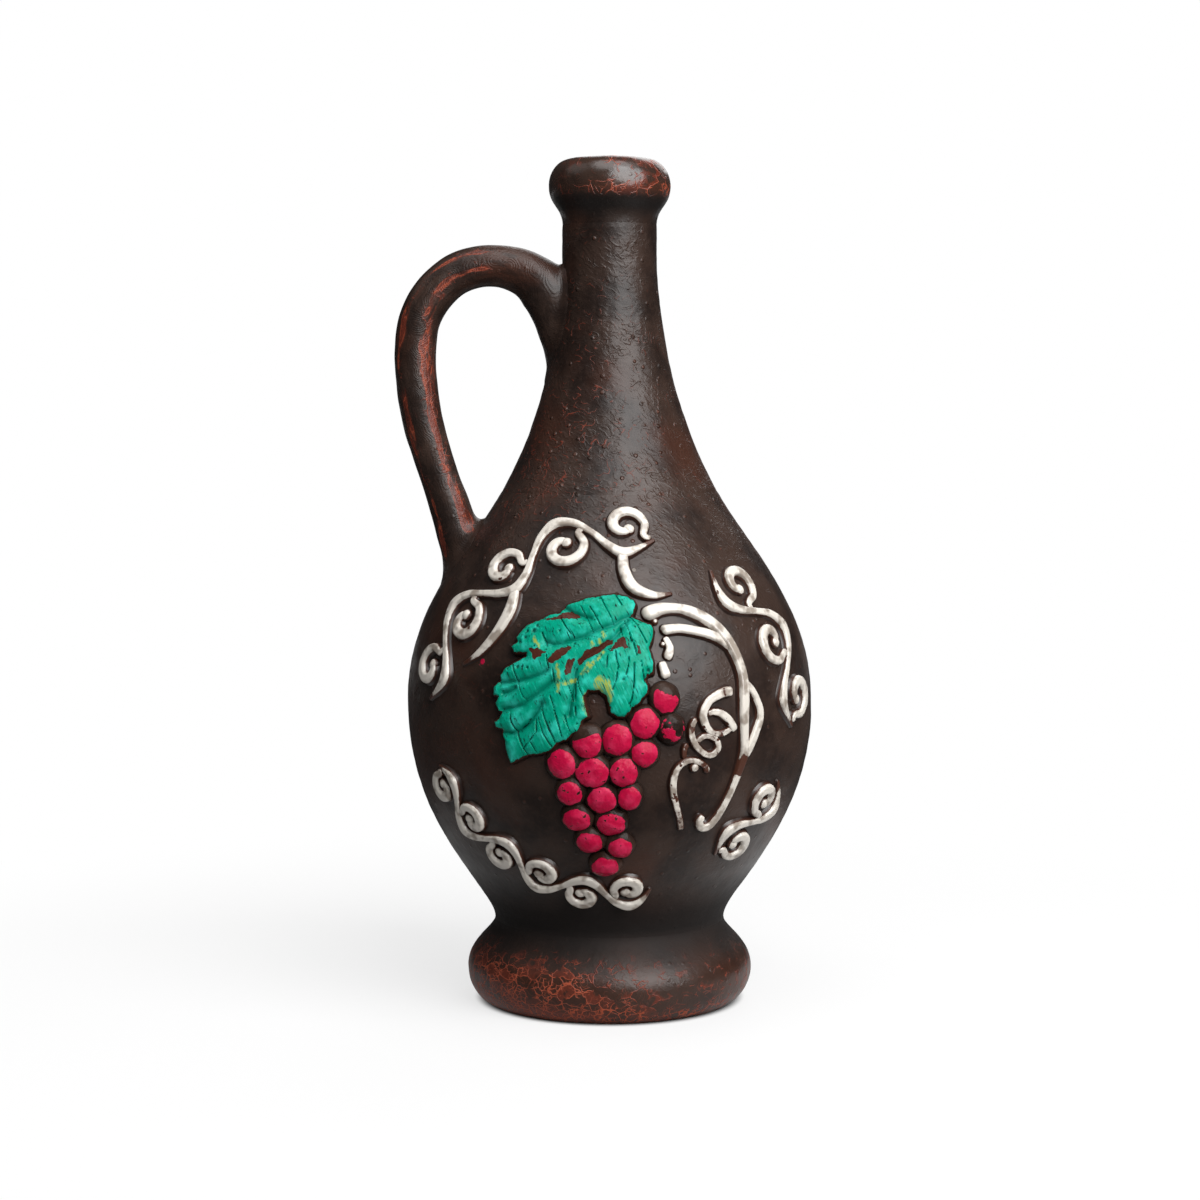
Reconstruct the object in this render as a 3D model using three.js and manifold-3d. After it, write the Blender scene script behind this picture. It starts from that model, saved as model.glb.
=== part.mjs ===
// Handled clay wine bottle on a flared foot, with raised leaf, grapes and vine scroll, and a cork.
// Millimetres, +Z up. The origin is the centre of the underside, the front faces -Y and the handle is at -X.

import * as THREE from 'three';
import { mergeVertices } from 'three/addons/utils/BufferGeometryUtils.js';
import Module from 'manifold-3d';

const wasm = await Module();
wasm.setup();

// Heights of the clay members, one above the other
const footHeight = 23.5;
const bellyRise = 62;
const shoulderRise = 60.5;
const neckRise = 75.5;
const collarHeight = 18.5;

// Outside radii
const standingRadius = 34;
const footRadius = 40.7;
const waistRadius = 32.8;
const bellyRadius = 57.7;
const seamRadius = 30.6;
const neckRadius = 13.2;
const collarRadius = 17.1;
const lipCrestRadius = 11.2;

// How the outline swells between those radii
const footWidestHeight = 9.6;
const footEase = 6.6;
const waistEaseBelow = 4;
const waistEaseAbove = 8.7;
const bellyEaseBelow = 35.4;
const bellyEaseAbove = 28.1;
const seamEaseBelow = 20.7;
const seamEaseAbove = 34;
const seamLean = 0.58;
const neckNarrowBelowCollar = 7.5;
const neckEase = 3;
const collarWidestHeight = 11.1;
const collarEase = 5.5;

// Walls, floor and bore
const wallThickness = 6.5;
const floorThickness = 7;
const boreRadius = 9.25;
const lipRounding = 1.7;

// Cork
const corkLength = 38;
const corkClearance = 0.25;
const corkBelowLip = 1.2;
const corkChamfer = 0.8;

// Handle
const handleRadius = 5.7;
const handleReach = 55.4;
const handleCrestHeight = 210;
const handleRootHeight = 203.5;
const handleHeelHeight = 128.7;
const handleSmearLength = 27;

// Raised ornament
const reliefClearance = 0.3;
const roomHeight = 6;
const roomDepth = 1;
const strandTaperShare = 0.2;
const strandShoulderWidth = 0.85;
const strandShoulderHeight = 0.6;
const slimEnd = 0.3;
const softEnd = 0.5;
const fullEnd = 0.8;
const caneWidth = 2.3;
const caneHeight = 1.9;
const tendrilWidth = 1.9;
const tendrilHeight = 1.6;
const scrollWidth = 2.2;
const scrollHeight = 1.9;
const grapeDiameter = 7;
const grapeGap = 0.4;
const grapeRise = 3;
const leafEdgeRise = 1.5;
const leafPuff = 1.1;
const leafPuffReach = 3.5;
const veinWidthAtStem = 1.6;
const veinWidthAtEdge = 0.5;
const veinDepth = 0.9;

// Vine scroll bands, which follow an oval round the leaf and the bunch
const scrollOvalAcross = 60;
const scrollOvalUp = 49;
const scrollOvalCentre = [1, 1.5];
const scrollWaveShare = 0.38;
const curlStartShare = 0.35;
const curlEndShare = 0.1;
const curlOffsetShare = 0.13;
const curlBranchShare = 0.42;
const curlTurns = 0.95;
const curlLeadTurns = 0.08;
const budDiameter = 3.4;

// How finely round shapes are divided
const roundSides = 40;
const footSteps = 6;
const bellySteps = 8;
const neckSteps = 10;
const collarSteps = 6;
const lipSteps = 3;
const footInsideSteps = 4;
const bellyInsideSteps = 10;
const neckInsideSteps = 7;
const slopeReach = 3;
const handleSides = 14;
const handleSteps = 34;
const grapeSides = 12;
const budSides = 8;
const domeSteps = 3;
const strandStep = 3.2;
const leastStrandSteps = 4;
const curlStep = 1.7;
const curlSteps = 9;
const leafCell = 3.5;
const leafMargin = 1;
const mergeTolerance = 1e-4;

// Heights that follow from the sizes above
const bellyWidestHeight = footHeight + bellyRise;
const seamHeight = bellyWidestHeight + shoulderRise;
const collarSeamHeight = seamHeight + neckRise;
const bottleHeight = collarSeamHeight + collarHeight;

// Colours
const clayBrown = 0x33271f;
const collarBrown = 0x4a2c20;
const handleBrown = 0x43291f;
const paintTeal = 0x06997c;
const paintCrimson = 0xc4184c;
const paintSilver = 0xd9d3c8;
const corkTan = 0xc39a68;

const bottle = new THREE.Group();

function place(name, geometry, color, roughness, metalness) {
  const material = new THREE.MeshStandardMaterial({ color, roughness, metalness });
  const mesh = new THREE.Mesh(geometry, material);
  mesh.name = name;
  bottle.add(mesh);
}

// Solids for joining and cutting

function toSolid(geometry) {
  const bare = geometry.clone();
  bare.deleteAttribute('normal');
  bare.deleteAttribute('uv');
  const merged = mergeVertices(bare, mergeTolerance);
  const index = merged.index.array;
  const kept = [];
  for (let i = 0; i < index.length; i += 3) {
    const [a, b, c] = [index[i], index[i + 1], index[i + 2]];
    if (a !== b && b !== c && c !== a) {
      kept.push(a, b, c);
    }
  }
  const vertProperties = new Float32Array(merged.attributes.position.array);
  const triVerts = new Uint32Array(kept);
  return new wasm.Manifold(new wasm.Mesh({ numProp: 3, vertProperties, triVerts }));
}

function toGeometry(solid) {
  const mesh = solid.getMesh();
  const geometry = new THREE.BufferGeometry();
  geometry.setAttribute('position', new THREE.BufferAttribute(new Float32Array(mesh.vertProperties), 3));
  geometry.setIndex(new THREE.BufferAttribute(new Uint32Array(mesh.triVerts), 1));
  geometry.computeVertexNormals();
  return geometry;
}

function closedMesh(rings, firstEnd, lastEnd) {
  // Rings of points, each joined to the next, with a fan to an end point at both ends
  const points = [...rings.flat(), firstEnd, lastEnd];
  const sides = rings[0].length;
  const index = [];
  for (let ring = 0; ring < rings.length - 1; ring++) {
    for (let side = 0; side < sides; side++) {
      const a = ring * sides + side;
      const b = ring * sides + ((side + 1) % sides);
      index.push(a, b, b + sides, a, b + sides, a + sides);
    }
  }
  const lastRing = (rings.length - 1) * sides;
  for (let side = 0; side < sides; side++) {
    const next = (side + 1) % sides;
    index.push(points.length - 2, next, side);
    index.push(points.length - 1, lastRing + side, lastRing + next);
  }
  const geometry = new THREE.BufferGeometry().setFromPoints(points);
  geometry.setIndex(index);
  return geometry;
}

// Outline of the vessel, as radius and height

const footSide = new THREE.EllipseCurve(
  standingRadius, footWidestHeight, footRadius - standingRadius, footWidestHeight, -Math.PI / 2, 0);
const footTop = new THREE.CubicBezierCurve(
  new THREE.Vector2(footRadius, footWidestHeight),
  new THREE.Vector2(footRadius, footWidestHeight + footEase),
  new THREE.Vector2(waistRadius, footHeight - waistEaseBelow),
  new THREE.Vector2(waistRadius, footHeight));
const bellyLower = new THREE.CubicBezierCurve(
  new THREE.Vector2(waistRadius, footHeight),
  new THREE.Vector2(waistRadius, footHeight + waistEaseAbove),
  new THREE.Vector2(bellyRadius, bellyWidestHeight - bellyEaseBelow),
  new THREE.Vector2(bellyRadius, bellyWidestHeight));
const seam = new THREE.Vector2(seamRadius, seamHeight);
const seamDirection = new THREE.Vector2(-seamLean, 1).normalize();
const bellyUpper = new THREE.CubicBezierCurve(
  new THREE.Vector2(bellyRadius, bellyWidestHeight),
  new THREE.Vector2(bellyRadius, bellyWidestHeight + bellyEaseAbove),
  seam.clone().addScaledVector(seamDirection, -seamEaseBelow),
  seam);
const neckNarrowHeight = collarSeamHeight - neckNarrowBelowCollar;
const neckSide = new THREE.CubicBezierCurve(
  seam,
  seam.clone().addScaledVector(seamDirection, seamEaseAbove),
  new THREE.Vector2(neckRadius, neckNarrowHeight - neckEase),
  new THREE.Vector2(neckRadius, neckNarrowHeight));
const collarWidest = new THREE.Vector2(collarRadius, collarSeamHeight + collarWidestHeight);
const collarLower = new THREE.CubicBezierCurve(
  new THREE.Vector2(neckRadius, collarSeamHeight),
  new THREE.Vector2(neckRadius, collarSeamHeight + collarEase),
  new THREE.Vector2(collarRadius, collarWidest.y - collarEase),
  collarWidest);
const collarUpper = new THREE.EllipseCurve(
  lipCrestRadius, collarWidest.y, collarRadius - lipCrestRadius, bottleHeight - collarWidest.y, 0, Math.PI / 2);

const footOutline = [...footSide.getPoints(footSteps), ...footTop.getPoints(footSteps).slice(1)];
const bellyOutline = [...bellyLower.getPoints(bellySteps), ...bellyUpper.getPoints(bellySteps).slice(1)];
const neckOutline = [...neckSide.getPoints(neckSteps), new THREE.Vector2(neckRadius, collarSeamHeight)];
const collarOutline = [
  ...collarLower.getPoints(collarSteps), ...collarUpper.getPoints(collarSteps).slice(1)];
const outline = [
  ...footOutline, ...bellyOutline.slice(1), ...neckOutline.slice(1), ...collarOutline.slice(1)];

function wallRadius(height) {
  // Outside radius at a height, along the straight pieces of the outline
  let next = outline.findIndex((point) => point.y > height);
  if (next < 1) {
    next = next === 0 ? 1 : outline.length - 1;
  }
  const below = outline[next - 1];
  const above = outline[next];
  return below.x + ((above.x - below.x) * (height - below.y)) / (above.y - below.y);
}

function wallSlope(height) {
  return (wallRadius(height + slopeReach) - wallRadius(height - slopeReach)) / (2 * slopeReach);
}

function insideRadius(height) {
  const acrossWall = wallThickness * Math.hypot(1, wallSlope(height));
  return Math.max(wallRadius(height) - acrossWall, boreRadius);
}

// Clay members, each turned from a closed profile

function turned(profile) {
  const geometry = new THREE.LatheGeometry(profile, roundSides);
  geometry.rotateX(Math.PI / 2);
  return geometry;
}

function insideWall(bottom, top, steps) {
  // Points on the inside of the wall, from the top down
  const points = [];
  for (let step = steps; step >= 0; step--) {
    const height = bottom + ((top - bottom) * step) / steps;
    points.push(new THREE.Vector2(insideRadius(height), height));
  }
  return points;
}

function closedRing(outside, inside) {
  return [...outside, ...inside, outside[0].clone()];
}

const footProfile = [
  new THREE.Vector2(0, 0),
  ...footOutline,
  ...insideWall(floorThickness, footHeight, footInsideSteps),
  new THREE.Vector2(0, floorThickness),
];
place('foot', turned(footProfile), clayBrown, 0.5, 0);

const bellyProfile = closedRing(bellyOutline, insideWall(footHeight, seamHeight, bellyInsideSteps));
place('belly', turned(bellyProfile), clayBrown, 0.5, 0);

const neckProfile = closedRing(neckOutline, insideWall(seamHeight, collarSeamHeight, neckInsideSteps));
place('neck', turned(neckProfile), clayBrown, 0.5, 0);

const innerLip = new THREE.EllipseCurve(
  lipCrestRadius, bottleHeight - lipRounding, lipCrestRadius - boreRadius, lipRounding, Math.PI / 2, Math.PI);
const collarInside = [
  ...innerLip.getPoints(lipSteps).slice(1),
  new THREE.Vector2(boreRadius, collarSeamHeight),
];
place('mouth_collar', turned(closedRing(collarOutline, collarInside)), collarBrown, 0.5, 0);

const corkRadius = boreRadius - corkClearance;
const corkTop = bottleHeight - corkBelowLip;
const corkProfile = [
  new THREE.Vector2(0, corkTop - corkLength),
  new THREE.Vector2(corkRadius - corkChamfer, corkTop - corkLength),
  new THREE.Vector2(corkRadius, corkTop - corkLength + corkChamfer),
  new THREE.Vector2(corkRadius, corkTop - corkChamfer),
  new THREE.Vector2(corkRadius - corkChamfer, corkTop),
  new THREE.Vector2(0, corkTop),
];
place('cork', turned(corkProfile), corkTan, 0.85, 0);

// Pulled handle: it is smeared down the neck at its root, and runs over the crest down to its heel.
// Each station of its path is sideways, the handle's radius there, and height.

function smearStation(dropShare, standOffShare, radiusShare) {
  const height = handleRootHeight - handleSmearLength * dropShare;
  const standOff = handleRadius * standOffShare;
  return new THREE.Vector3(-wallRadius(height) - standOff, handleRadius * radiusShare, height);
}

function loopStation(reachShare, heightShare, radiusShare) {
  const height = THREE.MathUtils.lerp(handleHeelHeight, handleCrestHeight, heightShare);
  return new THREE.Vector3(-handleReach * reachShare, handleRadius * radiusShare, height);
}

function heelStation(dropShare, depthShare, radiusShare) {
  const height = handleHeelHeight - handleRadius * dropShare;
  const depth = handleRadius * depthShare;
  return new THREE.Vector3(depth - wallRadius(height), handleRadius * radiusShare, height);
}

const handlePath = new THREE.CatmullRomCurve3([
  smearStation(1, -0.7, 0.7),
  smearStation(0.8, -0.64, 0.77),
  smearStation(0.63, -0.46, 0.88),
  smearStation(0.44, -0.16, 0.98),
  smearStation(0.22, 0.22, 1.06),
  smearStation(0, 0.8, 1.08),
  loopStation(0.42, 0.972, 1.03),
  loopStation(0.54, 1, 1),
  loopStation(0.67, 1, 1),
  loopStation(0.8, 0.97, 1),
  loopStation(0.9, 0.91, 1),
  loopStation(0.975, 0.82, 1),
  loopStation(1, 0.71, 1),
  loopStation(0.975, 0.5, 0.97),
  loopStation(0.89, 0.29, 0.93),
  loopStation(0.83, 0.17, 0.97),
  heelStation(0, 0.1, 1.12),
  heelStation(1.5, 1.6, 1.2),
]);

const handleRings = [];
for (let step = 0; step <= handleSteps; step++) {
  const station = handlePath.getPointAt(step / handleSteps);
  const direction = handlePath.getTangentAt(step / handleSteps);
  const radius = station.y;
  const outward = new THREE.Vector3(direction.z, 0, -direction.x).normalize();
  const ring = [];
  for (let side = 0; side < handleSides; side++) {
    const angle = (side / handleSides) * 2 * Math.PI;
    const point = new THREE.Vector3(station.x, Math.sin(angle) * radius, station.z);
    ring.push(point.addScaledVector(outward, Math.cos(angle) * radius));
  }
  handleRings.push(ring);
}
const [handleStart, handleEnd] = [0, 1].map((share) => handlePath.getPointAt(share).setY(0));
const handleBlank = toSolid(closedMesh(handleRings, handleStart, handleEnd));

const grownVessel = outline.map((point) => new THREE.Vector2(
  point.x + reliefClearance * Math.hypot(1, wallSlope(point.y)), point.y));
const vesselRoom = toSolid(turned([
  new THREE.Vector2(0, 0),
  ...grownVessel,
  new THREE.Vector2(0, bottleHeight),
]));
place('handle', toGeometry(handleBlank.subtract(vesselRoom)), handleBrown, 0.45, 0);

// Raised ornament is drawn flat, as across, up and out from the wall, and then bent round the belly.
// Across is measured round the belly at its widest, and up from the belly's widest height.

function acrossStretch(up) {
  // How many drawn millimetres across one real millimetre takes at this height
  return bellyRadius / wallRadius(bellyWidestHeight + up);
}

function upStretch(up) {
  return 1 / Math.hypot(1, wallSlope(bellyWidestHeight + up));
}

function bentRoundBelly(geometry) {
  const position = geometry.attributes.position;
  for (let i = 0; i < position.count; i++) {
    const height = bellyWidestHeight + position.getY(i);
    const out = position.getZ(i);
    const angle = position.getX(i) / bellyRadius;
    const slope = wallSlope(height);
    const lean = Math.hypot(1, slope);
    const radius = wallRadius(height) + out / lean;
    position.setXYZ(i, radius * Math.sin(angle), -radius * Math.cos(angle), height - (out * slope) / lean);
  }
  geometry.computeVertexNormals();
  return geometry;
}

function sweptAlong(points, sectionAt, endReach, stepLength = strandStep) {
  // A strand along a smooth line, whose cross-section is given as real distances to the side and out
  const path = new THREE.CatmullRomCurve3(points.map(([across, up]) => new THREE.Vector3(across, up, 0)));
  const steps = Math.max(leastStrandSteps, Math.round(path.getLength() / stepLength));
  const rings = [];
  for (let step = 0; step <= steps; step++) {
    const share = step / steps;
    const centre = path.getPointAt(share);
    const tangent = path.getTangentAt(share);
    const stretch = new THREE.Vector2(acrossStretch(centre.y), upStretch(centre.y));
    const sideways = new THREE.Vector2(-tangent.y / stretch.y, tangent.x / stretch.x).normalize();
    rings.push(sectionAt(share, centre).map(([side, out]) => new THREE.Vector3(
      centre.x + sideways.x * side * stretch.x,
      centre.y + sideways.y * side * stretch.y,
      out)));
  }
  const ends = [rings[0], rings[steps]].map((ring, last) => {
    const end = ring[0].clone().add(ring[ring.length - 1]).multiplyScalar(0.5);
    return end.addScaledVector(path.getTangentAt(last), last === 0 ? -endReach : endReach);
  });
  return toSolid(closedMesh(rings, ends[0], ends[1]));
}

function strand(points, width, rise, endFullness = softEnd, stepLength = strandStep) {
  // A raised strand with a rounded back, narrower towards both ends and half as slim as that in height
  const base = reliefClearance;
  const section = (share) => {
    const fromEnd = Math.min(share, 1 - share) / strandTaperShare;
    const fullness = THREE.MathUtils.lerp(endFullness, 1, Math.min(1, fromEnd));
    const half = (width / 2) * fullness;
    const shoulderHalf = half * strandShoulderWidth;
    const top = base + (rise * (1 + fullness)) / 2;
    const shoulder = THREE.MathUtils.lerp(base, top, strandShoulderHeight);
    return [[half, base], [shoulderHalf, shoulder], [0, top], [-shoulderHalf, shoulder], [-half, base]];
  };
  return sweptAlong(points, section, width / 3, stepLength);
}

function roomForStrand(points, width) {
  // The space that neighbours of a strand leave free
  const half = width / 2 + reliefClearance;
  const section = [[half, -roomDepth], [half, roomHeight], [-half, roomHeight], [-half, -roomDepth]];
  return sweptAlong(points, () => section, half);
}

function dome([across, up], diameter, rise, sides) {
  // A low round dome with its flat back to the wall
  const arc = new THREE.EllipseCurve(0, reliefClearance, diameter / 2, rise, 0, Math.PI / 2);
  const profile = [new THREE.Vector2(0, reliefClearance), ...arc.getPoints(domeSteps)];
  return turnedOnWall(profile, [across, up], sides);
}

function roomForDome(at, diameter) {
  const radius = diameter / 2 + reliefClearance;
  const profile = [
    new THREE.Vector2(0, -roomDepth),
    new THREE.Vector2(radius, -roomDepth),
    new THREE.Vector2(radius, roomHeight),
    new THREE.Vector2(0, roomHeight),
  ];
  return turnedOnWall(profile, at, grapeSides);
}

function turnedOnWall(profile, [across, up], sides) {
  const geometry = new THREE.LatheGeometry(profile, sides);
  geometry.rotateX(Math.PI / 2);
  geometry.scale(acrossStretch(up), upStretch(up), 1);
  geometry.translate(across, up, 0);
  return toSolid(geometry);
}

function placeRelief(name, solid, color) {
  place(name, bentRoundBelly(toGeometry(solid)), color, 0.35, 0);
}

// Vine canes, which leave the leaf's stem end and sweep down the right of the bunch

const caneUpperLine = [
  [9.4, 28], [13, 29.4], [18, 30.3], [22.7, 29.9], [28.1, 28], [32.3, 24.9], [35.4, 21.2], [36.9, 16.8],
  [37.9, 12.1], [38.1, 6.5], [37.6, 1.8], [37.8, -3], [39.1, -7.9], [39, -12], [37.1, -18], [34.8, -23.6],
  [31.8, -28], [28.4, -28.6], [27.2, -26.1], [28.9, -24.4],
];
const caneLowerLine = [[14, 24.2], [17.3, 25.2], [23.6, 25.2], [29.1, 24.3], [33.5, 22], [36.6, 18.4]];
const caneSideLine = [[37.9, 11.6], [41.7, 6.9], [43.6, 2.1], [43.5, -1.1], [41.6, -5.2], [39.2, -10]];
const caneUpperRoom = roomForStrand(caneUpperLine, caneWidth);
const caneLowerRoom = roomForStrand(caneLowerLine, caneWidth);
const caneSide = strand(caneSideLine, caneWidth, caneHeight).subtract(caneUpperRoom);
const caneLower = strand(caneLowerLine, caneWidth, caneHeight).subtract(caneUpperRoom);
placeRelief('cane_upper', strand(caneUpperLine, caneWidth, caneHeight), paintSilver);
placeRelief('cane_lower', caneLower, paintSilver);
placeRelief('cane_side', caneSide, paintSilver);

// Bunch of grapes: each place is across and up from the highest grape, in grape pitches, then its size

const bunchTop = [14.7, 7.2];
const grapePitch = grapeDiameter + grapeGap;
const grapes = [
  [0, 0, 1.03], [0.22, -1.05, 0.94], [-0.75, -0.84, 1.03], [-1.72, -1.39, 1.11], [-2.75, -1.51, 0.97],
  [-0.75, -1.92, 0.97], [-1.49, -2.57, 1], [-2.58, -2.58, 1.11], [-3.67, -2.28, 1.11], [-3.42, -3.32, 1],
  [-2.26, -3.57, 0.97], [-1.26, -3.5, 0.91], [-3.21, -4.3, 1], [-1.9, -4.46, 0.97], [-2.79, -5.18, 0.97],
  [-1.56, -5.38, 0.94], [-2.17, -6.14, 1],
].map(([across, up, size]) => ({
  at: [bunchTop[0] + across * grapePitch, bunchTop[1] + up * grapePitch],
  diameter: size * grapeDiameter,
}));
grapes.forEach(({ at, diameter }, number) => {
  const name = `grape_${String(number + 1).padStart(2, '0')}`;
  placeRelief(name, dome(at, diameter, grapeRise, grapeSides), paintCrimson);
});

const stalkFoot = bunchTop[1] + grapes[0].diameter / 2 + caneWidth / 2;
const stalkUpperLine = [[15.8, 25], [17.2, 21.4], [17.4, 18.6]];
const stalkLowerLine = [[14.1, stalkFoot + 5.6], [14.8, stalkFoot + 2.8], [15.3, stalkFoot]];
const stalkUpper = strand(stalkUpperLine, caneWidth, caneHeight, fullEnd).subtract(caneLowerRoom);
placeRelief('bunch_stalk_upper', stalkUpper, paintSilver);
placeRelief('bunch_stalk_lower', strand(stalkLowerLine, caneWidth, caneHeight, fullEnd), paintSilver);

// Tendril: three joined loops beside the canes, and a tail that hangs below them

const tendrilLoops = [
  [
    [38.1, 9.1], [36, 9.5], [32.3, 9.1], [28.4, 7.5], [25.9, 4.5], [25.8, 1], [28.2, -1.9], [31.8, -2.8],
    [34.6, -2], [35, 0.4], [33.2, 2.5], [30, 3.1],
  ],
  [
    [25.6, 3.4], [22.5, 0.4], [21.8, -3.6], [23.6, -7.2], [27.2, -8.8], [30.3, -7.7], [30.3, -4.8],
    [27.8, -3.1], [25.4, -3.6],
  ],
  [[22.2, -2.8], [20.4, -4.7], [19.6, -6.5], [19.9, -8]],
];
const tendrilTail = [
  [28.3, -14.3], [26, -12.5], [23.2, -11.2], [20, -11.1], [17.9, -12.6], [17.3, -15.2], [17.9, -19],
  [19.4, -23.8], [21.5, -29.4],
];
const tendrilSpiral = tendrilLoops
  .map((line) => strand(line, tendrilWidth, tendrilHeight, softEnd, curlStep))
  .reduce((joined, loop) => joined.add(loop));
placeRelief('tendril_spiral', tendrilSpiral.subtract(caneUpperRoom), paintSilver);
placeRelief('tendril_tail', strand(tendrilTail, tendrilWidth, tendrilHeight), paintSilver);

// Vine leaf: its outline runs clockwise from the top right, and its veins leave the stem end

const leafOutline = [
  [5.5, 32.9], [-3.2, 33.1], [-10, 31.6], [-14.4, 28.7], [-19.8, 27], [-24, 25.5], [-26.7, 22.3], [-26, 21.2],
  [-27.8, 20], [-26.7, 18.8], [-22.8, 18.7], [-22.8, 17.6], [-28.7, 14.5], [-30, 12.5], [-29.6, 11.4],
  [-31.7, 9.5], [-31.7, 7.6], [-29.9, 7.3], [-30.9, 5.4], [-28.8, 3.3], [-31, 0.5], [-30.8, -0.8],
  [-28.4, -1.2], [-28.8, -2.4], [-27.9, -6.1], [-26.7, -9.9], [-21.7, -7.5], [-16.6, -6.5], [-13.4, -3.9],
  [-9.7, -1.6], [-7.6, 0.7], [-7.3, 2], [-5.6, 2.8], [-6.8, 8.1], [-5.7, 9.6], [-2.7, 9.8], [-0.7, 8.2],
  [0.4, 4.1], [2.1, 2.9], [3.9, 3], [5.4, 5.2], [8.4, 7.7], [10, 10.7], [9.1, 12.1], [11.4, 13.9],
  [11.6, 16.5], [10.6, 20.1], [12.3, 24.5], [11.9, 25.8], [7.3, 27.4], [7, 29.3], [7.8, 31.1], [7.2, 32],
].map(([across, up]) => new THREE.Vector2(across, up));
const leafStem = [4.6, 27.2];
const veinLines = [
  [leafStem, [-6, 26.8], [-17, 24], [-25.5, 20.6]],
  [leafStem, [-8, 21], [-20, 12.5], [-29.5, 7.5]],
  [leafStem, [-6, 17], [-16, 6], [-25.3, -8]],
  [leafStem, [4.4, 20], [5, 12], [3.2, 5]],
  [leafStem, [8, 24.8], [10.6, 23.8]],
];

function distanceToVein(across, up) {
  const point = new THREE.Vector3(across, up, 0);
  const nearest = new THREE.Vector3();
  const distances = veinLines.flatMap((line) => line.slice(1).map((end, i) => {
    const piece = new THREE.Line3(new THREE.Vector3(...line[i], 0), new THREE.Vector3(...end, 0));
    return piece.closestPointToPoint(point, true, nearest).distanceTo(point);
  }));
  return Math.min(...distances);
}

function leafTop(across, up) {
  const puff = Math.sin((Math.PI / 2) * Math.min(1, distanceToVein(across, up) / leafPuffReach));
  return reliefClearance + leafEdgeRise + leafPuff * puff;
}

const leafBox = new THREE.Box2().setFromPoints(leafOutline).expandByScalar(leafMargin);
const leafSize = leafBox.getSize(new THREE.Vector2());
const leafMiddle = leafBox.getCenter(new THREE.Vector2());
const blanket = new THREE.BoxGeometry(
  leafSize.x, leafSize.y, 1, Math.round(leafSize.x / leafCell), Math.round(leafSize.y / leafCell), 1);
blanket.translate(leafMiddle.x, leafMiddle.y, 0);
const blanketPoints = blanket.attributes.position;
for (let i = 0; i < blanketPoints.count; i++) {
  const isTop = blanketPoints.getZ(i) > 0;
  const top = leafTop(blanketPoints.getX(i), blanketPoints.getY(i));
  blanketPoints.setZ(i, isTop ? top : reliefClearance);
}
const leafCutter = new THREE.ExtrudeGeometry(new THREE.Shape(leafOutline), {
  depth: roomHeight, bevelEnabled: false,
});
let leaf = toSolid(blanket).intersect(toSolid(leafCutter));
for (const line of veinLines) {
  leaf = leaf.subtract(sweptAlong(line, (share, centre) => {
    const bottom = leafTop(centre.x, centre.y) - veinDepth;
    const half = THREE.MathUtils.lerp(veinWidthAtStem, veinWidthAtEdge, share) / 2;
    return [[half, roomHeight], [-half, roomHeight], [0, bottom]];
  }, 0));
}
for (const { at, diameter } of grapes) {
  leaf = leaf.subtract(roomForDome(at, diameter));
}
leaf = leaf.subtract(caneUpperRoom).subtract(caneLowerRoom);
placeRelief('vine_leaf', leaf, paintTeal);

// Vine scroll: in each band a waving stem, with a curl and a bud in every hollow of the wave

function ovalPoint(angle) {
  const turn = THREE.MathUtils.degToRad(angle);
  const [across, up] = scrollOvalCentre;
  return new THREE.Vector2(
    across + scrollOvalAcross * Math.cos(turn), up + scrollOvalUp * Math.sin(turn));
}

function realStep(from, to) {
  // The real length, sideways and up, between two drawn points that lie close together
  const up = (from.y + to.y) / 2;
  return new THREE.Vector2((to.x - from.x) / acrossStretch(up), (to.y - from.y) / upStretch(up));
}

function besideOval(angle, along, outward) {
  // The drawn point at real distances along and outward from a point of the oval
  const centre = ovalPoint(angle);
  const tangent = realStep(ovalPoint(angle - 0.5), ovalPoint(angle + 0.5)).normalize();
  const sideways = tangent.x * along + tangent.y * outward;
  const upwards = tangent.y * along - tangent.x * outward;
  return [centre.x + sideways * acrossStretch(centre.y), centre.y + upwards * upStretch(centre.y)];
}

function ovalWalk(from, to) {
  // Real length along the oval at every degree between two angles
  const lengths = [0];
  for (let angle = from; angle < to; angle++) {
    lengths.push(lengths.at(-1) + realStep(ovalPoint(angle), ovalPoint(angle + 1)).length());
  }
  return lengths;
}

function angleAtShare(walk, from, share) {
  const length = walk.at(-1) * share;
  const next = Math.max(1, walk.findIndex((reached) => reached >= length));
  return from + next - 1 + (length - walk[next - 1]) / (walk[next] - walk[next - 1]);
}

// Each band runs between two directions from the middle of the oval, in degrees, and has so many curls

const scrollBands = [
  { name: 'upper_right', from: -6, to: 52, curls: 3 },
  { name: 'upper_left', from: 73, to: 177, curls: 5 },
  { name: 'lower_left', from: 198, to: 284, curls: 6 },
  { name: 'lower_right', from: 307, to: 337, curls: 2 },
];

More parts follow.
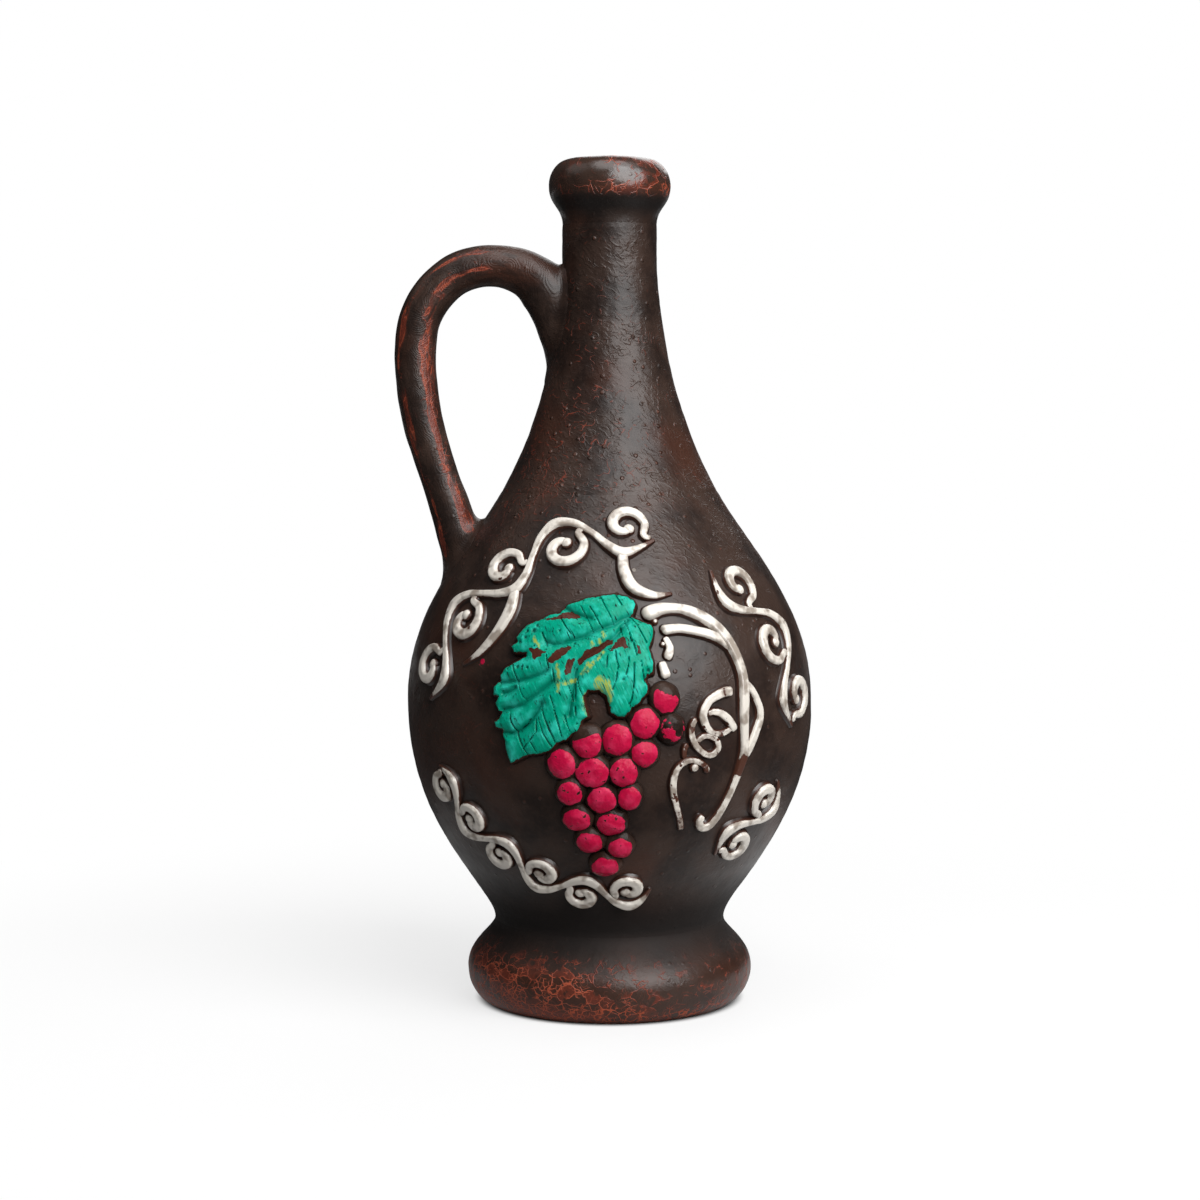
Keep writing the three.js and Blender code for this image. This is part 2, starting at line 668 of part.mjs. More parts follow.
const stems = {};
for (const { name, from, to, curls } of scrollBands) {
  const walk = ovalWalk(from, to);
  const cell = walk.at(-1) / curls;
  const wave = cell * scrollWaveShare;
  const stemLine = [];
  for (let quarter = 0; quarter <= 4 * curls; quarter++) {
    const angle = angleAtShare(walk, from, quarter / (4 * curls));
    stemLine.push(besideOval(angle, 0, -wave * Math.sin((Math.PI * quarter) / 4)));
  }
  placeRelief(`scroll_stem_${name}`, strand(stemLine, scrollWidth, scrollHeight), paintSilver);
  const stemRoom = roomForStrand(stemLine, scrollWidth);
  stems[name] = { line: stemLine, room: stemRoom };
  for (let number = 0; number < curls; number++) {
    const side = number % 2 === 0 ? 1 : -1;
    const angle = angleAtShare(walk, from, (number + 0.5) / curls);
    const branch = -side * wave * Math.cos(curlBranchShare * Math.PI);
    const curlLine = [besideOval(angle, -curlBranchShare * cell, branch)];
    for (let step = 0; step <= curlSteps; step++) {
      const turn = ((curlTurns * step) / curlSteps - curlLeadTurns) * 2 * Math.PI;
      const radius = cell * THREE.MathUtils.lerp(curlStartShare, curlEndShare, step / curlSteps);
      const outward = side * (cell * curlOffsetShare + radius * Math.sin(turn));
      curlLine.push(besideOval(angle, -radius * Math.cos(turn), outward));
    }
    const bud = dome(curlLine.at(-1), budDiameter, scrollHeight, budSides);
    const curl = strand(curlLine, scrollWidth, scrollHeight, fullEnd, curlStep).add(bud).subtract(stemRoom);
    placeRelief(`scroll_curl_${name}_${number + 1}`, curl, paintSilver);
  }
}

// Two free tendrils, which hang from the upper left stem over the leaf. Each starts in a low bend of the
// stem, the given number of quarter cells along it, and then runs through points measured from there.

const freeTendrils = [
  { quarter: 10, line: [[0, 0], [0.3, -5.5], [-2.5, -11.5], [-7.5, -17], [-13.5, -20.5]] },
  { quarter: 2, line: [[0, 0], [0.4, -5], [3, -9], [9, -11], [16, -10.5]] },
];
freeTendrils.forEach(({ quarter, line }, number) => {
  const start = stems.upper_left.line[quarter];
  const route = line.map(([across, up]) => [start[0] + across, start[1] + up]);
  const tendril = strand(route, scrollWidth, scrollHeight, slimEnd).subtract(stems.upper_left.room);
  placeRelief(`free_tendril_${number + 1}`, tendril, paintSilver);
});

export default bottle;
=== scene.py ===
import math
from functools import partial

import bpy
import numpy as np
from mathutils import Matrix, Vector
from mathutils.geometry import interpolate_bezier


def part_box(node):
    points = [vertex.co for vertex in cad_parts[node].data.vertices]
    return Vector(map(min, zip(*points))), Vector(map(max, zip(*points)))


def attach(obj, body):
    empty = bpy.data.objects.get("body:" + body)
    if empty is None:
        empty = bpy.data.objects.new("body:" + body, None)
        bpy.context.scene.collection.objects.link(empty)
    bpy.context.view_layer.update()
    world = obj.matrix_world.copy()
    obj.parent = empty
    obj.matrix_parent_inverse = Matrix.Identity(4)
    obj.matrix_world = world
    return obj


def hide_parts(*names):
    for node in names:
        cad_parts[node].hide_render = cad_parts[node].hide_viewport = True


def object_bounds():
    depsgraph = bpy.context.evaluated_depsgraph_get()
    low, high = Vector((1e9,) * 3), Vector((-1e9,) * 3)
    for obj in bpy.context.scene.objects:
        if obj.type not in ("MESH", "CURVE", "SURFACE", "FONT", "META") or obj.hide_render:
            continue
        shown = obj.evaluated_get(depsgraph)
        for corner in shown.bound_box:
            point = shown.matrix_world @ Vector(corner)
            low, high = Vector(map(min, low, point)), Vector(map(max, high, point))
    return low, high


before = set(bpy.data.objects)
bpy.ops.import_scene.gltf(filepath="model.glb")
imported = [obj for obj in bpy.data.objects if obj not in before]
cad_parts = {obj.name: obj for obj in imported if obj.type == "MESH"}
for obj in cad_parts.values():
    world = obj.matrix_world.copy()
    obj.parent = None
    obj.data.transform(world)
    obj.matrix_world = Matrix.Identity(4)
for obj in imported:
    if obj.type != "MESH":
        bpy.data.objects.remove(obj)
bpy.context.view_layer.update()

# Foot
# The flared ring that the bottle stands on, with the vessel's floor, thrown on the wheel in red earthenware.
# It is smoked nearly black and burnished, and its lower edge is rubbed through to a brick-red crackle.

MM = 0.001
bottle_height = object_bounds()[1].z
foot_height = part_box("foot")[1].z
foot_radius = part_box("foot")[1].x
foot_widest_height = 9.6 * MM
foot_ease = 6.6 * MM
standing_radius = 34 * MM
waist_radius = 32.8 * MM
waist_ease_below = 4 * MM
wall_thickness = 6.5 * MM
floor_thickness = 7 * MM
wheel_steps = 360
outline_step = 0.7 * MM
weld_reach = 0.002 * MM
clay_crease = math.radians(50)
spot_thickness = 0.1 * MM
# The last colour, a near-black, is painted shade for creases and for where reliefs meet the wall.
clay_colours = {"dark": "#211713", "light": "#392a23", "warm": "#462619", "red": "#722f1f",
                "bright": "#a84e33", "vein": "#6c2c1c", "grit": "#5c3b30", "painted_shade": "#120a07"}

# Sockets go by number. A MapRange takes 0 from between 1 and 2 to between 3 and 4. A colour Mix takes its
# share in 0 and its two colours in 6 and 7. A Math takes 0 and 1, and what it adds to their product in 2.
SOFT = {"interpolation_type": "SMOOTHSTEP"}
RGB = {"data_type": "RGBA", "out": 2}
TIMES = {"operation": "MULTIPLY"}
TIMES_PLUS = {"operation": "MULTIPLY_ADD"}
MOST = {"operation": "MAXIMUM"}
FOLD = {"operation": "PINGPONG"}


def to_linear(colour):
    """An sRGB hex colour as linear red, green, blue and alpha."""
    parts = [int(colour[i:i + 2], 16) / 255 for i in (1, 3, 5)]
    return [*(p / 12.92 if p <= 0.04045 else ((p + 0.055) / 1.055) ** 2.4 for p in parts), 1.0]


def add_node(material, kind, inputs=None, out=0, stops=None, **settings):
    """Adds a node with its settings and its inputs (values, hex colours or links) and returns an output."""
    node = material.node_tree.nodes.new("ShaderNode" + kind)
    for setting, value in settings.items():
        setattr(node, setting, value)
    if stops:
        ramp = node.color_ramp.elements
        while len(ramp) < len(stops):
            ramp.new(1.0)
        for element, (position, value) in zip(ramp, stops):
            element.position = position
            element.color = (value, value, value, 1)
    for socket, value in (inputs or {}).items():
        if isinstance(value, bpy.types.NodeSocket):
            material.node_tree.links.new(value, node.inputs[socket])
        else:
            node.inputs[socket].default_value = to_linear(value) if isinstance(value, str) else value
    return node.outputs[out] if node.outputs else None


def new_material(name):
    """An empty material, add_node for it alone, and the piece's own object coordinates."""
    material = bpy.data.materials.new(name)
    material.use_nodes = True
    material.node_tree.nodes.clear()
    add = partial(add_node, material)
    return material, add, add("TexCoord", out="Object")


def fired_clay(add, skin, rubbed, marked, cell=4 * MM):
    """Smoked clay's colour, roughness and height, by how far it is rubbed to red and how marked it is."""
    # The soot's grain is finer than a pixel on the real clay, so it is drawn as specks of 1.3 mm.
    patch, speck, glow, near, broken, satin = (
        add("TexNoise", {"Vector": skin, "Scale": 1 / (size * MM), "Detail": detail})
        for size, detail in ((15, 3), (1.3, 2), (28, 2), (8, 3), (2.6, 1), (4, 3)))
    patch = add("MapRange", {0: patch, 1: 0.36, 2: 0.64}, **SOFT)
    speck = add("MapRange", {0: speck, 1: 0.42, 2: 0.68}, **SOFT)
    some_speck = add("Math", {0: speck, 1: 0.3}, **TIMES)
    glow = add("MapRange", {0: glow, 1: 0.5, 2: 0.75, 4: 0.6}, **SOFT)
    flush = add("MapRange", {0: rubbed, 1: 0.35, 2: 1})
    flush = add("Math", {0: flush, 1: glow}, **MOST)

    # The crackle is a net of plates of about one cell, a finer net inside it, and loose curls near both.
    # Its real lines are hairs of 0.1 mm. They are drawn up to three times as wide, so that they show.
    drift = add("TexNoise", {"Vector": skin, "Scale": 1 / cell, "Detail": 2}, out=1)
    bent = add("Mix", {0: 0.4 * cell, 6: skin, 7: drift}, blend_type="LINEAR_LIGHT", **RGB)
    broad = add("Mapping", {"Vector": bent, "Scale": (1, 1, 1.45)})
    wide, fine = (add("TexVoronoi", {"Vector": broad, "Scale": per_cell / cell}, feature="DISTANCE_TO_EDGE")
                  for per_cell in (1, 2.3))
    wide = add("MapRange", {0: wide, 1: 0.17 * MM / cell, 2: 0.05 * MM / cell}, **SOFT)
    fine = add("MapRange", {0: fine, 1: 0.3 * MM / cell, 2: 0.1 * MM / cell}, **SOFT)
    curl = add("TexNoise", {"Vector": bent, "Scale": 1 / (4.4 * MM), "Detail": 0})
    curl = add("Math", {0: curl, 1: 0.1}, **FOLD)
    curl = add("MapRange", {0: curl, 1: 0.014, 2: 0.004, 4: 0.8}, **SOFT)

    near = add("Math", {0: near, 1: rubbed})
    broken = add("Math", {0: broken, 1: 1.5, 2: near}, **TIMES_PLUS)
    wide_here, fine_here, curl_here = (add("MapRange", {0: broken, 1: low, 2: high}, **SOFT)
                                       for low, high in ((1.6, 1.8), (1.9, 2.1), (1.42, 1.6)))
    netted = add("MapRange", {0: rubbed, 1: 0.18, 2: 0.4})
    wide_here = add("Math", {0: wide_here, 1: netted}, **TIMES)
    curl_here = add("Math", {0: curl_here, 1: marked}, **TIMES)
    curled = add("MapRange", {0: rubbed, 1: 0.1, 2: 0.22})
    curl_here = add("Math", {0: curl_here, 1: curled}, **TIMES)
    wide, fine, curl = (add("Math", {0: line, 1: here}, **TIMES)
                        for line, here in ((wide, wide_here), (fine, fine_here), (curl, curl_here)))
    lines = add("Math", {0: wide, 1: fine}, **MOST)
    lines = add("Math", {0: lines, 1: curl}, **MOST)
    clear = add("MapRange", {0: near, 1: 0.9, 2: 1.3}, **SOFT)
    clear = add("Math", {0: speck, 1: 0.2, 2: clear}, **TIMES_PLUS)
    line_colour = add("Mix", {0: clear, 6: clay_colours["vein"], 7: clay_colours["bright"]}, **RGB)

    # Some of the plates between the lines are worn through to the red body.
    plate = add("TexVoronoi", {"Vector": broad, "Scale": 1 / cell}, out=1)
    plate = add("SeparateColor", {0: plate})
    plate = add("MapRange", {0: plate, 1: 0.65, 2: 1, 4: 0.6})
    plate = add("Math", {0: plate, 1: wide_here}, **TIMES)
    worn = add("MapRange", {0: near, 1: 1.2, 2: 1.55, 4: 0.8}, **SOFT)
    worn = add("Math", {0: worn, 1: plate}, **MOST)

    # Grains of grit stand up as pimples about 3.7 mm apart, and the tips of some are rubbed paler.
    grit = {"Vector": skin, "Scale": 1 / (3.7 * MM)}
    pimple = add("TexVoronoi", grit)
    pimple = add("MapRange", {0: pimple, 1: 0.2, 2: 0.08}, **SOFT)
    grain = add("TexVoronoi", grit, out=1)
    chosen = add("SeparateColor", {0: grain})
    chosen = add("MapRange", {0: chosen, 1: 0.25, 2: 0.55})
    pimple = add("Math", {0: pimple, 1: chosen}, **TIMES)
    pimple = add("Math", {0: pimple, 1: marked}, **TIMES)
    tip = add("SeparateColor", {0: grain}, out=1)
    tip = add("MapRange", {0: tip, 1: 0.2, 2: 0.6, 4: 0.8})
    tip = add("Math", {0: tip, 1: pimple}, **TIMES)

    colour = clay_colours["dark"]
    for share, tone in ((patch, clay_colours["light"]), (some_speck, clay_colours["light"]),
                        (flush, clay_colours["warm"]), (worn, clay_colours["red"]), (lines, line_colour),
                        (tip, clay_colours["grit"])):
        colour = add("Mix", {0: share, 6: colour, 7: tone}, **RGB)
    rough = add("MapRange", {0: satin, 1: 0.3, 2: 0.7, 3: 0.35, 4: 0.41})
    rough = add("Math", {0: lines, 1: 0.15, 2: rough}, **TIMES_PLUS)

    # The wet clay keeps the marks of the hand: bent ridges, slanting strokes of the rib, and shallow dents.
    flat_skin = add("Mapping", {"Vector": skin, "Rotation": (0, 0.5, 0), "Scale": (1, 1, 1.8)})
    crumple = add("Mix", {0: 1.8 * MM, 6: flat_skin, 7: drift}, blend_type="LINEAR_LIGHT", **RGB)
    ridge = add("TexNoise", {"Vector": crumple, "Scale": 1 / (5 * MM), "Detail": 1})
    ridge = add("Math", {0: ridge, 1: 0.075}, **FOLD)
    ridge = add("MapRange", {0: ridge, 1: 0.03, 2: 0, 4: 0.1 * MM}, **SOFT)
    some_way = add("MapRange", {0: satin, 1: 0.48, 2: 0.6}, **SOFT)
    ridge = add("Math", {0: ridge, 1: some_way}, **TIMES)
    stroke = add("Mapping", {"Vector": bent, "Rotation": (0, math.radians(36), 0), "Scale": (2.6, 1, 1)},
                 vector_type="TEXTURE")
    stroke = add("TexNoise", {"Vector": stroke, "Scale": 1 / (0.9 * MM), "Detail": 0})
    stroke = add("MapRange", {0: stroke, 1: 0.5, 2: 0.74, 4: 0.065 * MM}, **SOFT)
    ridge = add("Math", {0: ridge, 1: stroke})
    height = add("TexNoise", {"Vector": crumple, "Scale": 1 / (2 * MM), "Detail": 2})
    height = add("Math", {0: height, 1: 0.1 * MM, 2: ridge}, **TIMES_PLUS)
    few = add("MapRange", {0: patch, 3: 0.35, 4: 1})
    for share in (few, marked):
        height = add("Math", {0: height, 1: share}, **TIMES)
    for mark, rise in ((speck, 0.012), (lines, 0.06), (pimple, 0.34)):
        height = add("Math", {0: mark, 1: rise * MM, 2: height}, **TIMES_PLUS)
    return colour, rough, height


def surface(add, colour, roughness, height, **finish):
    """Joins colour, roughness and height into the finished surface."""
    bump = add("Bump", {"Height": height, "Distance": 1.0, "Strength": 1.0})
    shader = add("BsdfPrincipled", {"Base Color": colour, "Roughness": roughness, "Normal": bump, "IOR": 1.45,
                                    **finish})
    add("OutputMaterial", {"Surface": shader})


# Painted shade darkens the crease over the foot and the one under the collar: shares of the height, and how
# dark each is painted.
crease_shade_by_height = [(0.055, 0), (0.085, 0.7), (0.105, 1), (0.125, 0.9), (0.17, 0), (0.92, 0), (0.936, 0.5),
                  (0.943, 1), (0.952, 0.85), (0.962, 0)]


def burnished_earthenware(name, red_by_height, marks_by_height, fading, cell, polish=0.0, spots=(), ior=1.45,
                          crease_roughness=0.85):
    """Smoked and burnished earthenware: a satin near-black, rubbed red by height and less toward one side."""
    material, add, skin = new_material(name)
    across = add("SeparateXYZ", {0: skin})
    share = add("SeparateXYZ", {0: skin}, out=2)
    share = add("Math", {0: share, 1: bottle_height}, operation="DIVIDE")
    rubbed, marked, crease_shade = (add("ValToRGB", {0: share}, stops=stops)
                             for stops in (red_by_height, marks_by_height, crease_shade_by_height))
    less = add("MapRange", {0: across, 1: fading[0], 2: fading[1], 4: fading[2]}, **SOFT)
    kept = add("Math", {0: 1.0, 1: less}, operation="SUBTRACT")
    rubbed = add("Math", {0: rubbed, 1: kept}, **TIMES)
    colour, rough, height = fired_clay(add, skin, rubbed, marked, cell)
    # Painted shade: the crease over the foot and the one under the collar are mixed toward near-black.
    colour = add("Mix", {0: crease_shade, 6: colour, 7: clay_colours["painted_shade"]}, **RGB)
    for place, radius, paint in spots:
        spot = add("VectorMath", {0: skin, 1: place}, operation="DISTANCE", out=1)
        spot = add("MapRange", {0: spot, 1: 1.2 * radius, 2: 0.8 * radius}, **SOFT)
        colour = add("Mix", {0: spot, 6: colour, 7: paint}, **RGB)
        height = add("Math", {0: spot, 1: spot_thickness, 2: height}, **TIMES_PLUS)
    rough = add("Math", {0: rough, 1: polish}, operation="SUBTRACT")
    rough = add("Mix", {0: crease_shade, 2: rough, 3: crease_roughness})
    surface(add, colour, rough, height, IOR=ior)
    return material


def dress(piece, material, body, slot, *nodes):
    """Gives a finished piece its material, its body and the solids that it stands for; the slot is not used.
    """
    piece.data.materials.clear()
    piece.data.materials.append(material)
    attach(piece, body)
    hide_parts(*nodes)


def bend(start, lean_out, lean_in, end, step=outline_step):
    """Points along a smooth side of the outline, as radius and height, with its two pulls."""
    count = max(3, math.ceil((Vector(end) - Vector(start)).length / step))
    points = interpolate_bezier(*(Vector((*p, 0)) for p in (start, lean_out, lean_in, end)), count + 1)
    return [(p.x, p.y) for p in points]


def quarter(centre, reach, start, end, step=outline_step):
    """Points along part of an ellipse, between two angles in degrees."""
    count = max(3, math.ceil(max(reach) * math.radians(abs(end - start)) / step))
    angles = [math.radians(start + (end - start) * i / count) for i in range(count + 1)]
    return [(centre[0] + reach[0] * math.cos(a), centre[1] + reach[1] * math.sin(a)) for a in angles]


def edit_whole():
    """Opens the active piece's mesh with all of it selected."""
    bpy.ops.object.mode_set(mode="EDIT")
    bpy.ops.mesh.select_all(action="SELECT")


def close_mesh(weld=0.0):
    """Welds points that meet, where asked, turns the faces outward and leaves edit mode."""
    edit_whole()
    if weld:
        bpy.ops.mesh.remove_doubles(threshold=weld)
    bpy.ops.mesh.normals_make_consistent(inside=False)
    bpy.ops.object.mode_set(mode="OBJECT")


def pick(*pieces):
    """Selects these pieces alone and makes the first one active."""
    bpy.ops.object.select_all(action="DESELECT")
    for piece in pieces:
        piece.select_set(True)
    bpy.context.view_layer.objects.active = pieces[0]


def throw(name, outline, steps=wheel_steps):
    """Turns an outline on the wheel: a point is drawn out along it, and the line is swept to a body."""
    bpy.ops.mesh.primitive_plane_add(size=MM)
    piece = bpy.context.object
    piece.name = name
    edit_whole()
    bpy.ops.mesh.merge(type="CENTER")
    bpy.ops.transform.translate(value=(outline[0][0], 0, outline[0][1]))
    for here, there in zip(outline, outline[1:]):
        step = (there[0] - here[0], 0, there[1] - here[1])
        bpy.ops.mesh.extrude_vertices_move(TRANSFORM_OT_translate={"value": step})
    bpy.ops.object.mode_set(mode="OBJECT")
    wheel = piece.modifiers.new("wheel", "SCREW")
    wheel.steps = wheel.render_steps = steps
    wheel.use_merge_vertices = True
    wheel.merge_threshold = weld_reach
    bpy.ops.object.modifier_apply(modifier="wheel")
    close_mesh(weld_reach)
    return piece


def tool_marks(piece, *marks):
    """Presses soft marks of a depth and a size in millimetres into a piece, outwards only, so that members
    that meet stay joined."""
    pick(piece)
    for depth, size in marks:
        texture = bpy.data.textures.new(piece.name + "_marks", "CLOUDS")
        texture.noise_scale = size * MM
        texture.noise_depth = 1
        press = piece.modifiers.new("marks", "DISPLACE")
        press.texture = texture
        press.texture_coords = "LOCAL"
        press.mid_level = 0
        press.strength = depth * MM
        bpy.ops.object.modifier_apply(modifier="marks")
        bpy.ops.object.shade_smooth_by_angle(angle=clay_crease)


foot_outline = quarter((standing_radius, foot_widest_height),
                       (foot_radius - standing_radius, foot_widest_height), -90, 0)
foot_outline += bend((foot_radius, foot_widest_height), (foot_radius, foot_widest_height + foot_ease),
                     (waist_radius, foot_height - waist_ease_below), (waist_radius, foot_height))[1:]
foot_inside = [(waist_radius - wall_thickness, foot_height), (waist_radius - wall_thickness, floor_thickness)]
foot = throw("foot_thrown", [(0, 0), *foot_outline, *foot_inside, (0, floor_thickness)])
tool_marks(foot, (0.3, 14), (0.16, 3))
edit_whole()
bpy.ops.mesh.bisect(plane_co=(0, 0, 0), plane_no=(0, 0, -1), clear_outer=True, use_fill=True,
                    threshold=0.001 * MM)
bpy.ops.object.mode_set(mode="OBJECT")

# Burnished earthenware: soot in its pores makes it near-black and the pebble's polish leaves a satin shine.
# Handling bares brick-red clay low on the foot, and specks of crimson and grey paint fell on the belly.
paint_spots = [
    ((-34.2 * MM, -44.1 * MM, 101.5 * MM), 0.8 * MM, "#b60c3b"),
    ((-34.9 * MM, -43.6 * MM, 100.6 * MM), 0.4 * MM, "#b60c3b"),
    ((6.6 * MM, -43.4 * MM, 126.3 * MM), 0.6 * MM, "#6d645c")]
smoked_clay = burnished_earthenware(
    "burnished_smoked_earthenware",
    [(0, 1), (0.014, 1), (0.026, 0.74), (0.055, 0.66), (0.08, 0.36), (0.1, 0), (0.2, 0.1), (0.35, 0.2),
     (0.5, 0.1), (0.62, 0.24), (0.8, 0.2), (0.9, 0.14)],
    [(0, 0.3), (0.1, 0.25), (0.35, 0.35), (0.5, 0.6), (0.62, 1), (0.9, 1), (0.93, 0.5)],
    fading=(-16 * MM, 22 * MM, 0.4), cell=4 * MM, spots=paint_spots)
dress(foot, smoked_clay, "vessel", "dark_clay", "foot")

# Belly
# The full belly, thrown as an open-ended bowl and luted to the foot, in the same smoked earthenware. The
# burnisher leaves it satin, with a faint leathery grain. The outlines of the neck and the collar are drawn
# here too, because the wall's radius is read from all of them.

belly_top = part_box("belly")[1].z
belly_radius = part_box("belly")[1].x
belly_widest_height = foot_height + 62 * MM
waist_ease_above = 8.7 * MM
belly_ease_below = 35.4 * MM
belly_ease_above = 28.1 * MM
seam_radius = 30.6 * MM
seam_ease_below = 20.7 * MM
seam_ease_above = 34 * MM
seam_direction = Vector((-0.58, 1)).normalized()
bore_radius = 9.25 * MM
slope_reach = 1.5 * MM
belly_inside_steps = 24


def wall_radius(height):
    """The vessel's outside radius at a height or an array of heights."""
    return np.interp(height, wall_heights, wall_radii)


def wall_slope(height):
    """How fast the outside radius grows with height."""
    return (wall_radius(height + slope_reach) - wall_radius(height - slope_reach)) / (2 * slope_reach)


def inside_radius(height):
    """The hollow's radius, one wall in from the outside, and never less than the bore."""
    lean = math.hypot(1, wall_slope(height))
    return max(wall_radius(height) - wall_thickness * lean, bore_radius)


def inside_wall(outline, steps):
    """The inside of a wall, from the top down, measured across from the outside."""
    heights = np.linspace(outline[-1][1], outline[0][1], steps)
    return [(inside_radius(h), h) for h in heights]


seam_pull = seam_direction * seam_ease_below
belly_outline = bend((waist_radius, foot_height), (waist_radius, foot_height + waist_ease_above),
                     (belly_radius, belly_widest_height - belly_ease_below),
                     (belly_radius, belly_widest_height))
belly_outline += bend((belly_radius, belly_widest_height),
                      (belly_radius, belly_widest_height + belly_ease_above),
                      (seam_radius - seam_pull.x, belly_top - seam_pull.y), (seam_radius, belly_top))[1:]

neck_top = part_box("neck")[1].z
neck_radius = 13.2 * MM
neck_narrow_height = neck_top - 7.5 * MM
neck_ease = 3 * MM
neck_step = 0.55 * MM
neck_straight_steps = 13
seam_push = seam_direction * seam_ease_above
neck_outline = bend((seam_radius, belly_top), (seam_radius + seam_push.x, belly_top + seam_push.y),
                    (neck_radius, neck_narrow_height - neck_ease), (neck_radius, neck_narrow_height),
                    neck_step)
neck_outline += [(neck_radius, neck_narrow_height + neck_step * i) for i in range(1, neck_straight_steps)]
neck_outline.append((neck_radius, neck_top))

collar_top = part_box("mouth_collar")[1].z
collar_radius = 17.1 * MM
collar_widest_height = neck_top + 11.1 * MM
collar_ease = 5.5 * MM
collar_step = 0.4 * MM
lip_crest_radius = 11.2 * MM
collar_outline = bend((neck_radius, neck_top), (neck_radius, neck_top + collar_ease),
                      (collar_radius, collar_widest_height - collar_ease),
                      (collar_radius, collar_widest_height), collar_step)
collar_outline += quarter((lip_crest_radius, collar_widest_height),
                          (collar_radius - lip_crest_radius, collar_top - collar_widest_height),
                          0, 90, collar_step)[1:]

whole_outline = foot_outline + belly_outline[1:] + neck_outline[1:] + collar_outline[1:]
wall_radii, wall_heights = np.array(whole_outline).T

belly = throw("belly_thrown",
              [*belly_outline, *inside_wall(belly_outline, belly_inside_steps), belly_outline[0]])
tool_marks(belly, (0.3, 14), (0.16, 3))
dress(belly, smoked_clay, "vessel", "dark_clay", "belly")

# Neck
# The long tapering neck, collared in on the wheel above the belly in the same clay. The rib and the fingers
# leave short slanting ripples all over it, and grit in the clay stands up as small pimples.

neck_inside_steps = 16
neck_wheel_steps = 240
neck = throw("neck_thrown", [*neck_outline, *inside_wall(neck_outline, neck_inside_steps), neck_outline[0]],
             neck_wheel_steps)
tool_marks(neck, (0.3, 14), (0.2, 3))
dress(neck, smoked_clay, "vessel", "dark_clay", "neck")

# Mouth collar
# A thick rolled collar round the mouth, folded out of the neck's last clay. It is rubbed back to brick red
# in a crackled band round its middle, and painted shade darkens it in the crease below.

lip_rounding = 1.7 * MM
collar_wheel_steps = 200
inner_lip = quarter((lip_crest_radius, collar_top - lip_rounding),
                    (lip_crest_radius - bore_radius, lip_rounding), 90, 180, collar_step)
collar = throw("mouth_collar_rolled", [
    *collar_outline, *inner_lip[1:], (bore_radius, neck_top), collar_outline[0]], collar_wheel_steps)
tool_marks(collar, (0.2, 14), (0.12, 3))

# Burnished earthenware again, polished further by hands: a sharper shine, with larger red plates showing.
collar_clay = burnished_earthenware(
    "rubbed_collar_earthenware",
    [(0.94, 0), (0.951, 0.3), (0.957, 0.7), (0.967, 0.74), (0.974, 0.45), (0.984, 0.4), (0.991, 0.6),
     (0.996, 0.5)],
    [(0.94, 0.2), (0.96, 0.2), (0.978, 0.2), (0.988, 0.04)],
    fading=(3 * MM, -14 * MM, 0.5), cell=5.5 * MM, polish=0.12, ior=1.65, crease_roughness=0.45)
dress(collar, collar_clay, "vessel", "collar_clay", "mouth_collar")

# Cork
# A plain cylindrical stopper punched from cork bark and pushed in just below the lip.
# Its end shows the bark's pale tan, with dark pores and short brown flecks.

cork_low, cork_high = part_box("cork")
cork_radius = cork_high.x
cork_chamfer = 0.8 * MM
cork_side_inset = 2 * MM
cork_side_steps = 24
cork_wheel_steps = 96
cork_outline = [
    (0, cork_low.z), (cork_radius - cork_chamfer, cork_low.z), (cork_radius, cork_low.z + cork_chamfer),
    *((cork_radius, h) for h in np.linspace(cork_low.z + cork_side_inset, cork_high.z - cork_side_inset,
                                            cork_side_steps)),
    (cork_radius, cork_high.z - cork_chamfer), (cork_radius - cork_chamfer, cork_high.z),
    *((cork_radius * share, cork_high.z) for share in (0.75, 0.6, 0.45, 0.3, 0.15)), (0, cork_high.z)]
cork = throw("cork_punched", cork_outline, cork_wheel_steps)

# Natural cork bark, punched out and left raw: matt pale tan, with flecks and pores that are small pits.
natural_cork, add, cork_skin = new_material("natural_cork_bark")
cork_colours = {"tan": "#b98a55", "pale": "#d0a877", "fleck": "#7d5230", "pore": "#4a2f1c"}
bark = add("TexNoise", {"Vector": cork_skin, "Scale": 1 / (5 * MM), "Detail": 3})
bark = add("Mix", {0: bark, 6: cork_colours["tan"], 7: cork_colours["pale"]}, **RGB)
flat_bark = add("Mapping", {"Vector": cork_skin, "Scale": (1, 2.2, 0.6)})
flecks = add("TexNoise", {"Vector": flat_bark, "Scale": 1 / (1.6 * MM), "Detail": 2})
flecks = add("MapRange", {0: flecks, 1: 0.6, 2: 0.68}, **SOFT)
pores = add("TexNoise", {"Vector": cork_skin, "Scale": 1 / (0.9 * MM), "Detail": 2})
pores = add("MapRange", {0: pores, 1: 0.66, 2: 0.72}, **SOFT)
bark = add("Mix", {0: flecks, 6: bark, 7: cork_colours["fleck"]}, **RGB)
bark = add("Mix", {0: pores, 6: bark, 7: cork_colours["pore"]}, **RGB)
pitted = add("Math", {0: flecks, 1: pores})
pitted = add("Math", {0: pitted, 1: -0.15 * MM}, **TIMES)
surface(add, bark, 0.8, pitted)
dress(cork, natural_cork, "cork", "cork", "cork")

# Handle
# A pulled strap of round section, luted under the collar, smeared down the neck by the thumb, and pressed
# on to the shoulder at its heel. Handling rubs brick-red streaks along its inner side and its outer edge.

handle_radius = 5.7 * MM
handle_reach = 55.4 * MM
handle_crest_height = 210 * MM
handle_root_height = 203.5 * MM
handle_heel_height = 128.7 * MM
handle_smear_length = 27 * MM
handle_sides = 64
handle_step = 0.7 * MM
root_fillet = 2.6 * MM
heel_fillet = 4.5 * MM
rub_starts = 36 * MM
rub_grows = 12 * MM
rub_clear = 4 * MM
least_sideways = 0.3 * handle_radius


